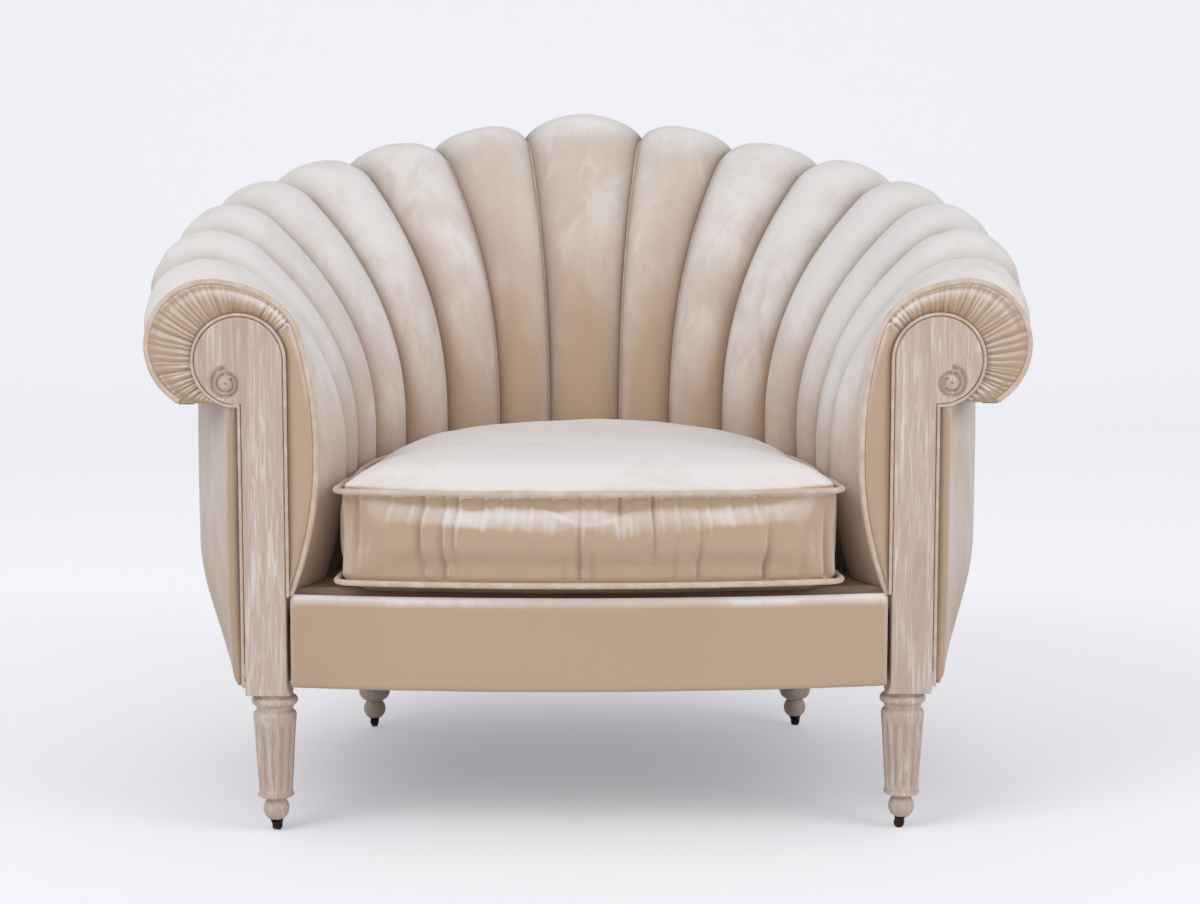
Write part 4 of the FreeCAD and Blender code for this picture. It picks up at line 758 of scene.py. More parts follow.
def floor_material():
    """Pale matt floor; towards the backdrop, which the lamps hardly reach, the camera sees it lit."""
    stage = settings("stage")
    ground = Shader("studio_floor")
    parts = ground.nodes.new("ShaderNodeSeparateXYZ")
    ground.links.new(ground.object_place, parts.inputs["Vector"])
    ray = ground.nodes.new("ShaderNodeLightPath").outputs["Is Camera Ray"]
    lift = ground.nodes.new("ShaderNodeMapRange")
    for name, value in (("From Min", NEAR_FLOOR), ("From Max", FAR_FLOOR), ("To Min", stage.near_light),
                        ("To Max", stage.far_light)):
        lift.inputs[name].default_value = value
    ground.links.new(parts.outputs["Y"], lift.inputs["Value"])
    ground.links.new(ground.math("MULTIPLY", lift.outputs["Result"], ray),
                     ground.shader.inputs["Emission Strength"])
    mottle = ground.noise(ground.object_place, scale=1.5, detail=2.0)
    plain = tuple(stage.floor_colour)
    ground.base(ground.blend(ground.part_of(mottle, FLOOR_MOTTLE), plain, WHITE))
    ground.set(Emission_Color=(*plain, 1.0), Roughness=0.9, Specular_IOR_Level=0.1)
    return ground.material


MAKERS = {
    "velvet": velvet,
    "piping": piping_cloth,
    "limed_oak": limed_oak,
    "dark_bronze": dark_bronze,
    "frame_wood": plain_wood,
    "webbing": lambda: woven("jute_webbing", settings("finish").jute, 420.0, 0.0008),
    "deck_cloth": lambda: woven("deck_cotton", settings("finish").deck, 900.0, 0.0004),
    "dust_cloth": lambda: woven("dust_cloth", settings("finish").dust, 700.0, 0.0003),
}
MADE = {}


def material_for(slot_name):
    if slot_name not in MADE:
        MADE[slot_name] = MAKERS[slot_name]()
    return MADE[slot_name]


# Geometry nodes for what follows a path

class PathTree:
    """A tree whose input is a curve, ending in Realize Instances and Set Material."""

    def __init__(self, name):
        self.tree = bpy.data.node_groups.new(name, "GeometryNodeTree")
        self.tree.is_modifier = True
        face = self.tree.interface
        face.new_socket(name="Geometry", in_out="INPUT", socket_type="NodeSocketGeometry")
        face.new_socket(name="Geometry", in_out="OUTPUT", socket_type="NodeSocketGeometry")
        self.sockets = {}
        self.nodes, self.links = self.tree.nodes, self.tree.links
        self.start = self.nodes.new("NodeGroupInput")

    def size(self, name, default):
        socket = self.tree.interface.new_socket(name=name, in_out="INPUT", socket_type="NodeSocketFloat")
        socket.default_value = default
        self.sockets[name] = socket.identifier

    def add(self, kind, mode=None, **inputs):
        node = self.nodes.new(kind)
        if mode is not None:
            node.mode = mode
        for name, value in inputs.items():
            socket = node.inputs[name.replace("_", " ")]
            if isinstance(value, str):
                self.links.new(self.start.outputs[value], socket)
            elif hasattr(value, "links"):
                self.links.new(value, socket)
            else:
                socket.default_value = value
        return node

    def close(self, geometry):
        material = self.tree.interface.new_socket(name="Material", in_out="INPUT",
                                                  socket_type="NodeSocketMaterial")
        self.sockets["Material"] = material.identifier
        real = self.add("GeometryNodeRealizeInstances", Geometry=geometry)
        shaded = self.add("GeometryNodeSetShadeSmooth", Geometry=real.outputs["Geometry"])
        coated = self.add("GeometryNodeSetMaterial", Geometry=shaded.outputs["Geometry"], Material="Material")
        end = self.nodes.new("NodeGroupOutput")
        self.links.new(coated.outputs["Geometry"], end.inputs["Geometry"])
        return self


def cord_tree():
    """Round cord along a curve."""
    tree = PathTree("round_cord")
    tree.size("Radius", 0.0036)
    tree.size("Step", 0.004)
    even = tree.add("GeometryNodeResampleCurve", "LENGTH", Curve="Geometry", Length="Step")
    profile = tree.add("GeometryNodeCurvePrimitiveCircle", Resolution=12, Radius="Radius")
    tube = tree.add("GeometryNodeCurveToMesh", Curve=even.outputs["Curve"],
                    Profile_Curve=profile.outputs["Curve"], Fill_Caps=True)
    return tree.close(tube.outputs["Mesh"])


def gimp_tree():
    """Twisted gimp: slanting beads, one after the other along a curve."""
    tree = PathTree("twisted_gimp")
    tree.size("Bead", 0.0021)
    tree.size("Pitch", 0.003)
    tree.size("Slant", 0.75)
    points = tree.add("GeometryNodeCurveToPoints", "LENGTH", Curve="Geometry", Length="Pitch")
    bead = tree.add("GeometryNodeMeshUVSphere", Segments=8, Rings=6, Radius="Bead")
    long_bead = tree.add("GeometryNodeTransform", Geometry=bead.outputs["Mesh"])
    long_bead.inputs["Scale"].default_value = (0.85, 0.75, 1.7)
    slant = tree.nodes.new("ShaderNodeCombineXYZ")
    tree.links.new(tree.start.outputs["Slant"], slant.inputs["X"])
    slant_turn = tree.add("FunctionNodeEulerToRotation", Euler=slant.outputs["Vector"])
    turned = tree.add("FunctionNodeRotateRotation", Rotation=points.outputs["Rotation"],
                      Rotate_By=slant_turn.outputs["Rotation"])
    turned.rotation_space = "LOCAL"
    beads = tree.add("GeometryNodeInstanceOnPoints", Points=points.outputs["Points"],
                     Instance=long_bead.outputs["Geometry"], Rotation=turned.outputs["Rotation"])
    return tree.close(beads.outputs["Instances"])


TREES = {}


def along_paths(name, paths, tree_maker, material, closed=False, **sizes):
    """Plain mesh that a tree makes along paths of spots."""
    if tree_maker not in TREES:
        TREES[tree_maker] = tree_maker()
    tree = TREES[tree_maker]
    curve = bpy.data.curves.new(name + "_path", "CURVE")
    curve.dimensions = "3D"
    for path in paths:
        spline = curve.splines.new("POLY")
        spline.points.add(len(path) - 1)
        for point, spot in zip(spline.points, path):
            point.co = (*spot, 1.0)
        spline.use_cyclic_u = closed
    guide = link(bpy.data.objects.new(name + "_path", curve))
    modifier = guide.modifiers.new("form", "NODES")
    modifier.node_group = tree.tree
    for size_name, value in sizes.items():
        modifier[tree.sockets[size_name]] = value
    modifier[tree.sockets["Material"]] = material
    mesh = settled_mesh(guide)
    piece = link(bpy.data.objects.new(name, mesh))
    guide.modifiers.remove(modifier)
    bpy.data.objects.remove(guide)
    if not mesh.polygons:
        raise RuntimeError(name + " came out empty")
    return piece


# Channels

VALLEY_POWER, VALLEY_ROUND = 2.2, 0.55
CHANNEL_HALF = 0.4995
CREASE_DEPTH, CREASE_LEAST = 0.0030, 0.25
UNEVEN_DEPTH = 0.0016
# Share of the post's depth and rise over the crown, from the face round behind the arm front
ARM_TURN = [(0.6, 0.0), (0.35, 0.0), (0.22, -0.0005), (0.15, -0.003), (0.14, -0.010)]
ARM_TURN_BACK = 0.006
# The second value is the painted shade on the tail of a channel, where it tucks under the roll.
TAIL_LAP, TAIL_SHADE = 0.0008, 0.6
CORD_DEPTH, CORD_STAGES = 0.0085, 90


def channel_node(place):
    if place == 0:
        return "channel_middle"
    return f"channel_{'left' if place < 0 else 'right'}_{abs(place)}"


def dome(across, open_side):
    """Share of the crown at a place across a channel: full, with steep sides into the valleys."""
    if across * open_side > 0:
        return 1.0
    return max(1 - abs(across) ** VALLEY_POWER, 0.0) ** VALLEY_ROUND


def creased(stage):
    """Share of the creases at a stage: they begin on the swell and fade out at the end of the roll."""
    return smooth((stage - 1.0) / 0.7) * smooth((3.05 - stage) / 0.5)


def arm_turn(edge, stage, crown, padding):
    """Spots at the open edge of an outermost channel, round behind the arm front."""
    made = []
    for depth_share, lower in ARM_TURN:
        spot = edge.spot(stage, crown + lower)
        spot.y = FRONT + POST_DEPTH * depth_share + ARM_TURN_BACK
        made.append(spot)
    inner = edge.spot(stage, -padding)
    return made + [Vector((inner.x, made[-1].y, inner.z))]


def channel(back, place):
    """One stuffed channel, with small creases where it bends over the roll."""
    sizes = back.sizes
    open_side = 0
    if abs(place) == sizes.pairs:
        open_side = 1 if place > 0 else -1
    across = [math.sin(math.pi / 2 * part) for part in steps(-1, 1, sizes.columns)]
    sections = [Section(back, place + CHANNEL_HALF * part) for part in across]
    stages = even_stages(sections[len(sections) // 2], sizes.rows)
    first, last = sections[0], sections[-1]
    behind = ([last] if open_side != 1 else []) + ([first] if open_side != -1 else [])
    crease_depth = CREASE_DEPTH * (CREASE_LEAST + abs(place) / back.edge)
    rings, folds = [], []
    for row, stage in enumerate(stages):
        crown = back.crown(stage)
        way = row / sizes.rows
        bend = creased(stage)
        cells = []
        for part, section in zip(across, sections):
            full = dome(part, open_side)
            lift = (crown + sizes.valley) * full - sizes.valley
            crease = noise.noise(Vector((place * 7.3 + part * 1.3, way * 34.0, part * 0.6)))
            lift -= crease_depth * bend * max(crease, 0.0) * full
            lift += UNEVEN_DEPTH * noise.noise(Vector((place * 3.1, way * 6.0, part * 0.8))) * full
            # The third value is painted shade: none on the crown, full in the valley between two channels.
            cells.append((section, section.spot(stage, lift), 1 - full))
        if open_side > 0:
            cells += [(last, spot, 0.0) for spot in arm_turn(last, stage, crown, sizes.padding)]
        elif open_side < 0:
            turned = [(first, spot, 0.0) for spot in arm_turn(first, stage, crown, sizes.padding)]
            cells = turned[::-1] + cells
        cells += [(section, section.spot(stage, -sizes.padding), 1.0) for section in behind]
        rings.append([spot for _, spot, _ in cells])
        folds += [mark for _, _, mark in cells]
    for spot in rings[0]:
        spot.z = CHANNEL_FOOT
    tails = [section.tail_height() - TAIL_LAP for section, _, _ in cells]
    end = rings[-1]
    for part in (0.5, 1.0):
        rings.append([Vector((spot.x, spot.y, mix(spot.z, min(spot.z, tail), part)))
                      for spot, tail in zip(end, tails)])
        # Painted shade on the tail, where it tucks under the roll.
        folds += [TAIL_SHADE] * len(end)
    return ring_solid(channel_node(place).replace("channel", "velvet_channel"), rings, folds=folds)


class ARMCHAIR_OT_channels(bpy.types.Operator):
    """Fifteen stuffed channels up the inside of the back and over the arms"""
    bl_idname = "armchair.channels"
    bl_label = "Channels"

    def execute(self, context):
        back = Back()
        pairs = back.sizes.pairs
        for place in range(-pairs, pairs + 1):
            piece = finish_piece(channel(back, place), material_for("velvet"), "root", "velvet",
                                 channel_node(place))
        cords = []
        for place in range(-pairs, pairs):
            section = Section(back, place + 0.5)
            stages = even_stages(section, CORD_STAGES)[1:-1]
            cords.append([section.spot(stage, -CORD_DEPTH) for stage in stages])
        cord = along_paths("valley_cords", cords, cord_tree, material_for("piping"),
                           Radius=back.sizes.valley_cord, Step=0.006)
        finish_piece(cord, material_for("piping"), "root", "piping")
        return {"FINISHED"}


# Outside panels

TAIL_GAP = 0.001
PANEL_ROWS = 34
PANEL_EASE, PANEL_EASE_TOP, PANEL_EASE_FOOT = 0.0045, 0.012, 0.010
PANEL_RIPPLE, PANEL_RIPPLE_SCALE = 0.0012, 9.0
PANEL_LENGTH, PANEL_END_GAP = 1.1, 0.006


def foot_curve():
    """Plan of the panels' bottom edge."""
    sizes = settings("panels")
    return PlanCurve(sizes.base_half_width, sizes.base_depth, sizes.front_half, sizes.turn_depth,
                     sizes.power)


def panel(name, start, end, number):
    back, sizes = Back(), settings("panels")
    shell = PlanCurve(sizes.half_width, sizes.depth, sizes.front_half, sizes.turn_depth, sizes.power)
    base = foot_curve()
    near, far = [], []
    for place in steps(start, end, number):
        part = abs(place) / back.edge
        side = -1 if place < 0 else 1
        top = Section(back, place).tail_height() - TAIL_GAP
        outer, inner = [], []
        for up in steps(top, FRAME_FOOT, PANEL_ROWS):
            under = max(0.0, (sizes.tuck - up) / (sizes.tuck - FRAME_FOOT)) ** 2
            edge = min((top - up) / PANEL_EASE_TOP, (up - FRAME_FOOT) / PANEL_EASE_FOOT, 1.0)
            soft = PANEL_EASE * (1 - math.sqrt(max(edge, 0.0)))
            for spots, out in ((outer, -soft), (inner, -sizes.thickness)):
                level = (shell.offset(shell.length * part, out) * (1 - under)
                         + base.offset(base.length * part, out) * under)
                spots.append(Vector((side * level.x, FRONT + level.y, up)))
            outer[-1].x += side * ripple(outer[-1], PANEL_RIPPLE_SCALE, PANEL_RIPPLE, place)
        near.append(outer)
        far.append(inner)
    return slab(name, near, far)


class ARMCHAIR_OT_panels(bpy.types.Operator):
    """Velvet panels round the outside"""
    bl_idname = "armchair.panels"
    bl_label = "Outside Panels"

    def execute(self, context):
        seam = settings("panels").seam_place
        end = Back().edge * (1 - PANEL_END_GAP / PANEL_LENGTH)
        for name, start, stop, number in (("back", -seam, seam, 48), ("left", -seam, -end, 44),
                                          ("right", seam, end, 44)):
            piece = panel("velvet_panel_" + name, start, stop, number)
            finish_piece(piece, material_for("velvet"), "root", "velvet", "outside_panel_" + name)
        return {"FINISHED"}


# Arm fronts

LEDGE_GAP = 0.0005
POST_GAP = 0.0045
RING_SEEDS = {"right": 11, "left": 12}
RING_COLUMNS, RING_ROWS = 420, 16
RING_LEAST, RING_PUFF, RING_SET_BACK = 0.001, 0.006, 0.0045
FOLD_SPACING, FOLD_STRENGTH, FOLD_LEAN = (0.55, 1.45), (0.5, 1.0), (-0.35, 0.35)
FOLD_REACH, FOLD_SHARPNESS, FOLD_SWAY = 1.2, 1.6, 0.004
FACING_ROWS, FACING_COLUMNS = 220, 14
FACING_LEAST, FACING_FOLD_UP = 0.0008, 0.03
FACING_PUFF, FACING_SET_BACK, FACING_RIPPLE = 0.0055, 0.003, 0.0012
GIMP_DEPTH = 0.0024
GIMP_SLANT = 0.75


def scroll_centre():
    """Across and height of the right-hand scroll's centre."""
    wood = settings("wood")
    return Vector((wood.post_inner + wood.scroll_radius, wood.scroll_height))


class ArmFront:
    """Outline of the right-hand arm front and the scroll that it surrounds."""

    def __init__(self):
        self.back = Back()
        self.section = Section(self.back, self.back.edge)
        wood = settings("wood")
        self.centre = scroll_centre()
        self.radius = wood.scroll_radius
        self.ledge = wood.scroll_height - wood.scroll_drop
        self.inner = wood.post_inner

    def edge(self, inset, number=160):
        """Across and height along the arm front's edge, drawn in by an inset."""
        spots = []
        for stage in even_stages(self.section, number):
            spot = self.section.spot(stage, self.back.crown(stage) - inset)
            spots.append(Vector((spot.x, spot.z)))
        return spots

    def rim(self, angle, spots):
        """Distance from the scroll's centre to the edge in a direction, or to the ledge below."""
        facing = heading(angle)
        best = None
        for one, two in zip(spots, spots[1:]):
            first, second = one - self.centre, two - self.centre
            cross_first = facing.x * first.y - facing.y * first.x
            cross_second = facing.x * second.y - facing.y * second.x
            if cross_first * cross_second <= 0 and first.dot(facing) > 0:
                part = cross_first / (cross_first - cross_second)
                reach = first.lerp(second, part).dot(facing)
                best = reach if best is None else max(best, reach)
        if facing.y < 0:
            low = (self.centre.y - self.ledge - LEDGE_GAP) / -facing.y
            best = low if best is None else min(best, low)
        return best


def gathers_round_scroll(name, number):
    """Uneven folds: place from 0 to 1 round the scroll, strength and lean."""
    chance = random.Random(RING_SEEDS[name])
    folds, place = [], 0.0
    while place < 1.0:
        folds.append((place, chance.uniform(*FOLD_STRENGTH), chance.uniform(*FOLD_LEAN)))
        place += chance.uniform(*FOLD_SPACING) / number
    return folds


def fold_height(folds, number, part, way):
    """Share of a fold's depth at a place round the scroll and a way out to the welt."""
    sway = part + FOLD_SWAY * noise.noise(Vector((part * 24, way * 2.2, 3.0)))
    height = 0.0
    for start, depth, lean in folds:
        gap = (sway - start - lean * 0.02 * (way - 0.5)) * number
        if abs(gap) < FOLD_REACH:
            height = max(height, depth * (1 - abs(gap) / FOLD_REACH) ** FOLD_SHARPNESS)
    return height


def ruche(side, name):
    """Gathered ring round the scroll: uneven folds, tight at the scroll and open at the welt."""
    arm, sizes = ArmFront(), settings("trim")
    edge = arm.edge(2 * sizes.welt)
    inner = arm.radius + POST_GAP
    least = inner + RING_LEAST
    last = -math.asin(min((arm.centre.y - arm.ledge) / least, 1.0))
    folds = gathers_round_scroll(name, sizes.ruche_folds)
    near, far, painted_shade = [], [], []
    for part in steps(0, 1, RING_COLUMNS):
        angle = mix(sizes.fold_angle, last, part)
        rim = max(arm.rim(angle, edge), least)
        outer_row, inner_row = [], []
        for way in steps(0, 1, RING_ROWS):
            height = fold_height(folds, sizes.ruche_folds, part, way)
            puff = RING_PUFF * math.sin(math.pi * min(way * 1.15 + 0.05, 1.0)) ** 0.6
            sink = sizes.ruche_depth * height * (1 - 0.35 * way) * min(way * 9 + 0.35, 1.0)
            flat = arm.centre + heading(angle) * mix(inner, rim, way)
            depth = sizes.ruche_back + RING_SET_BACK - (puff - sink)
            outer_row.append(Vector((side * flat.x, FRONT + depth, flat.y)))
            inner_row.append(Vector((side * flat.x, FRONT + POST_DEPTH, flat.y)))
            # Painted shade in the gathers, darker where a fold sinks deeper.
            painted_shade.append(0.75 * height * (1 - 0.4 * way))
        near.append(outer_row)
        far.append(inner_row)
    return slab("gathered_ring_" + name, near, far, folds=painted_shade + [0.0] * len(painted_shade))


def facing(side, name):
    """Plain velvet between the post and the welt on the seat side."""
    arm, sizes = ArmFront(), settings("trim")
    edge = arm.edge(2 * sizes.welt, FACING_ROWS)
    start = arm.centre + heading(sizes.fold_angle) * arm.rim(sizes.fold_angle, edge)
    inside = [spot for spot in edge if spot.y <= start.y and spot.x < arm.centre.x]
    near, far = [], []
    for spot in inside:
        up = spot.y
        post = arm.inner - POST_GAP
        if up > arm.centre.y:
            drop = min(up - arm.centre.y, arm.radius)
            post = arm.centre.x - math.sqrt(max((arm.radius + POST_GAP) ** 2 - drop ** 2, 0.0))
        fold = arm.centre.x + (up - arm.centre.y) / math.tan(sizes.fold_angle)
        if up > arm.centre.y + FACING_FOLD_UP:
            post = min(post, fold)
        post = max(post, spot.x + FACING_LEAST)
        outer_row, inner_row = [], []
        for way in steps(0, 1, FACING_COLUMNS):
            across = mix(spot.x, post, way)
            puff = math.sin(math.pi * min(max(way, 0.04), 0.96)) ** 0.5
            fall = FACING_RIPPLE * noise.noise(Vector((across * 30, up * 9, side)))
            depth = sizes.facing_back + FACING_SET_BACK - FACING_PUFF * puff + fall
            outer_row.append(Vector((side * across, FRONT + depth, up)))
            inner_row.append(Vector((side * across, FRONT + POST_DEPTH, up)))
        near.append(outer_row)
        far.append(inner_row)
    return slab("arm_facing_velvet_" + name, near, far)


def post_outline(margin, straight_parts=60, round_parts=90):
    """Outline of the right-hand post grown by a margin, from the inner foot over to the outer foot."""
    wood, centre = settings("wood"), scroll_centre()
    radius = wood.scroll_radius + margin
    ledge = wood.scroll_height - wood.scroll_drop - margin
    outer = wood.post_inner + wood.post_width + margin
    last = -math.asin(min((centre.y - ledge) / radius, 1.0))
    spots = [Vector((wood.post_inner - margin, up)) for up in steps(FRAME_FOOT, centre.y, straight_parts)]
    spots += [centre + heading(angle) * radius for angle in steps(math.pi, last, round_parts)[1:]]
    spots.append(Vector((outer, ledge)))
    spots += [Vector((outer, up)) for up in steps(ledge, FRAME_FOOT, straight_parts)[1:]]
    return spots


class ARMCHAIR_OT_arm_fronts(bpy.types.Operator):
    """Gathered rings, facings, welts and the gimp round the posts"""
    bl_idname = "armchair.arm_fronts"
    bl_label = "Arm Fronts"

    def execute(self, context):
        sizes = settings("trim")
        velvet_cloth, cream = material_for("velvet"), material_for("piping")
        arm = ArmFront()
        apron_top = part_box("front_apron")[1][2]
        for name, side in SIDES:
            ring = finish_piece(ruche(side, name), velvet_cloth, "root", "velvet", "arm_ruche_" + name)
            face = finish_piece(facing(side, name), velvet_cloth, "root", "velvet", "arm_facing_" + name)
            depth = FRONT + sizes.facing_back + sizes.welt
            path = [Vector((side * spot.x, depth, spot.y)) for spot in arm.edge(sizes.welt)]
            welt = along_paths("arm_welt_" + name, [path], cord_tree, cream, Radius=sizes.welt, Step=0.004)
            finish_piece(welt, cream, "root", "piping", "arm_piping_" + name)
            outline = post_outline(sizes.gimp_bead)
            start = next(index for index, spot in enumerate(outline) if spot.y > apron_top)
            path = [Vector((side * spot.x, FRONT + GIMP_DEPTH, spot.y)) for spot in outline[start:]]
            gimp = along_paths("post_gimp_" + name, [path], gimp_tree, cream, Bead=sizes.gimp_bead,
                               Pitch=sizes.gimp_pitch, Slant=GIMP_SLANT * side)
            finish_piece(gimp, cream, "root", "piping", "post_braid_" + name)
        return {"FINISHED"}


# Seat cushion

BACK_GAP = 0.0012
FRONT_PARTS, CORNER_PARTS, ROUND_PARTS, BOXING_PARTS = 24, 8, 70, 8
SIDE_DRAW, BOXING_DRAW = 0.992, 0.008
TOP_RINGS = (0.985, 0.96, 0.92, 0.86, 0.78, 0.66, 0.5, 0.3, 0.1)
CLOTH_FRAMES, CLOTH_QUALITY, CLOTH_MASS, EVENING_ROUNDS = 20, 5, 0.35, 10
SEAM_DEPTH, SEAM_REACH, SEAM_POWER = 0.0035, 0.007, 1.5
RIM_START, RIM_WIDTH = 0.20, 0.06
ROUND_LENGTH = 2.2
PUCKER_SEED, PUCKER_WIDTH, PUCKER_STRENGTH = 5, (0.0032, 0.0052), (0.65, 1.0)
STRONG_SHARE, WEAK_DEPTH, STRONG_FADE, WEAK_FADE = 0.35, 0.45, (0.7, 1.8), (0.3, 1.0)
TOP_SHARE = 0.6
WELT_OUT = 0.0004


def cushion_plan():
    """Right half of the cushion's outline from the middle of the front round to the back."""
    sizes, back = settings("cushion"), Back()
    spots = []
    for across in steps(0, sizes.front_half - sizes.corner, FRONT_PARTS):
        spots.append(Vector((across, -sizes.bow + (sizes.bow - sizes.side_depth)
                             * (across / sizes.front_half) ** 2)))
    start = spots[-1]
    for angle in steps(0, math.pi / 2, CORNER_PARTS)[1:]:
        spots.append(start + Vector((math.sin(angle), 1 - math.cos(angle))) * sizes.corner)
    beside = back.crown(0.5) + settings("trim").welt + BACK_GAP
    first = back.seat_way(back.edge - 0.5)
    for way in steps(first, 0, ROUND_PARTS):
        spots.append(back.seat.offset(way, -beside))
    return spots


def cushion_middle():
    """Depth of the cushion's middle behind the front of the posts."""
    return (settings("back").seat_depth - settings("cushion").bow) / 2


def cushion_ring(plan, part, up, out=0.0):
    """Closed level ring of the cushion, drawn towards its middle and grown outwards."""
    middle = cushion_middle()
    grown = part + out / settings("cushion").front_half
    right = [Vector((spot.x * grown, mix(middle, spot.y, grown))) for spot in plan]
    left = [Vector((-spot.x, spot.y)) for spot in right[-2:0:-1]]
    return [Vector((spot.x, FRONT + spot.y, up)) for spot in right + left]


def evened(mesh, moves, rounds):
    """Moves shared with their neighbours, so that the swelling has no crumples."""
    for _ in range(rounds):
        sums = [move.copy() for move in moves]
        counts = [1] * len(moves)
        for edge in mesh.edges:
            one, two = edge.vertices
            sums[one] += moves[two]
            sums[two] += moves[one]
            counts[one] += 1
            counts[two] += 1
        moves = [total / number for total, number in zip(sums, counts)]
    return moves


def swollen(piece, voxel, pressure, cap):
    """The pad remeshed evenly and swollen as stuffed cloth, within a cap."""
    remesh = piece.modifiers.new("even", "REMESH")
    remesh.mode = "VOXEL"
    remesh.voxel_size = voxel
    settle(piece, remesh)
    cloth = piece.modifiers.new("stuffing", "CLOTH")
    cloth.settings.use_pressure = True
    cloth.settings.uniform_pressure_force = pressure
    cloth.settings.quality = CLOTH_QUALITY
    cloth.settings.mass = CLOTH_MASS
    cloth.settings.effector_weights.gravity = 0.0
    cloth.point_cache.frame_start = 1
    cloth.point_cache.frame_end = CLOTH_FRAMES
    for number in range(1, CLOTH_FRAMES + 1):
        bpy.context.scene.frame_set(number)
    graph = bpy.context.evaluated_depsgraph_get()
    moved = piece.evaluated_get(graph).to_mesh()
    places = [vertex.co.copy() for vertex in moved.vertices]
    piece.evaluated_get(graph).to_mesh_clear()
    piece.modifiers.remove(cloth)
    bpy.context.scene.frame_set(1)
    vertices = piece.data.vertices
    moves = [spot - vertex.co for vertex, spot in zip(vertices, places)]
    moves = evened(piece.data, moves, EVENING_ROUNDS)
    for vertex, move in zip(vertices, moves):
        if move.length > cap:
            move = move.normalized() * cap
        vertex.co += move


def subdivided(piece, levels=1):
    modifier = piece.modifiers.new("round", "SUBSURF")
    modifier.levels = levels
    modifier.render_levels = levels
    settle(piece, modifier)
    for polygon in piece.data.polygons:
        polygon.use_smooth = True


def puckers(number, depth):
    """Gathers of the boxing: place round the cushion, width, depth and where each fades out."""
    chance = random.Random(PUCKER_SEED)
    made = []
    for index in range(number):
        place = (index + chance.uniform(-0.42, 0.42)) / number
        strong = chance.random() < STRONG_SHARE
        width = chance.uniform(*PUCKER_WIDTH)
        sunk = depth * chance.uniform(*PUCKER_STRENGTH) * (1.0 if strong else WEAK_DEPTH)
        fade = chance.uniform(*(STRONG_FADE if strong else WEAK_FADE))
        made.append((place, width, sunk, fade, chance.random() < TOP_SHARE))
    return made


def pucker_fold(gap):
    """Cross-section of a gather at a distance in its own widths: a furrow between two low swells."""
    return math.exp(-gap ** 2) - 0.35 * math.exp(-((gap - 1.9) ** 2))


def gathered_in(gathers, around, level):
    """How deep the gathers press the boxing in at a place round the cushion and a level up it."""
    total = 0.0
    if not 0.0 < level < 1.0:
        return total
    inside = smooth((1 - level) / 0.05) * smooth(level / 0.05)
    for place, width, depth, fade, from_top in gathers:
        gap = abs(around - place)
        gap = min(gap, 1 - gap) * ROUND_LENGTH
        if gap < width * 3:
            reach = 1 - level if from_top else level
            total += depth * pucker_fold(gap / width) * smooth(1.15 - reach / fade) * inside
    return total


def seat_cushion():
    """Boxed cushion with a crowned top, swollen as cloth, then seamed and gathered."""
    sizes = settings("cushion")
    plan = cushion_plan()
    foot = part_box("seat_cushion")[0][2]
    low, high = sizes.lower_seam, sizes.upper_seam
    rings = [cushion_ring(plan, part, up) for part, up in
             ((0.80, foot), (0.88, foot), (0.95, mix(foot, low, 0.45)), (0.985, low - 0.004))]
    for part in steps(0, 1, BOXING_PARTS):
        drawn = BOXING_DRAW * math.sin(math.pi * part) if 0 < part < 1 else 0.0
        rings.append(cushion_ring(plan, SIDE_DRAW - drawn, mix(low, high, part)))
    for part in TOP_RINGS:
        rings.append(cushion_ring(plan, part, high + sizes.crown * (1 - part ** sizes.crown_power)))
    piece = ring_solid("seat_cushion_velvet", rings)
    swollen(piece, sizes.voxel, sizes.pressure, sizes.swell_cap)
    subdivided(piece)
    middle = Vector((0.0, FRONT + cushion_middle()))
    gathers = puckers(sizes.puckers, sizes.pucker_depth)
    painted_shade = []
    for vertex in piece.data.vertices:
        spot = vertex.co
        flat = Vector((spot.x, spot.y)) - middle
        facing_out = flat.normalized()
        seam = min(abs(spot.z - low), abs(spot.z - high))
        inward = SEAM_DEPTH * max(0.0, 1 - seam / SEAM_REACH) ** SEAM_POWER
        rim = smooth((flat.length - RIM_START) / RIM_WIDTH)
        around = math.atan2(flat.x, -flat.y) / (2 * math.pi)
        gathered = gathered_in(gathers, around, (spot.z - low) / (high - low)) * rim
        inward += gathered
        # Painted shade in the puckers, darker where the boxing is pressed in further.
        painted_shade.append(min(max(gathered / sizes.pucker_depth, 0.0), 1.0) * 0.6)
        spot.x -= facing_out.x * inward * rim
        spot.y -= facing_out.y * inward * rim
        if spot.z > high:
            spot.z += ripple(spot, 7.0, 0.0030) + ripple(spot, 22.0, 0.0009, 4.0)
        spot.z = max(spot.z, foot)
    store_painted_fold_shade(piece.data, painted_shade)
    return piece


class ARMCHAIR_OT_cushion(bpy.types.Operator):
    """Loose seat cushion with its two welts"""
    bl_idname = "armchair.cushion"
    bl_label = "Seat Cushion"

    def execute(self, context):
        sizes, trim = settings("cushion"), settings("trim")
        cream = material_for("piping")
        piece = finish_piece(seat_cushion(), material_for("velvet"), "cushion", "velvet", "seat_cushion")
        plan = cushion_plan()
        for name, up in (("lower", sizes.lower_seam), ("upper", sizes.upper_seam)):
            path = cushion_ring(plan, 1.0, up, WELT_OUT)
            welt = along_paths("cushion_welt_" + name, [path], cord_tree, cream, closed=True,
                               Radius=trim.welt, Step=0.005)
            finish_piece(welt, cream, "cushion", "piping", "cushion_piping_" + name)
        return {"FINISHED"}


# Apron, deck and the cloths under the seat

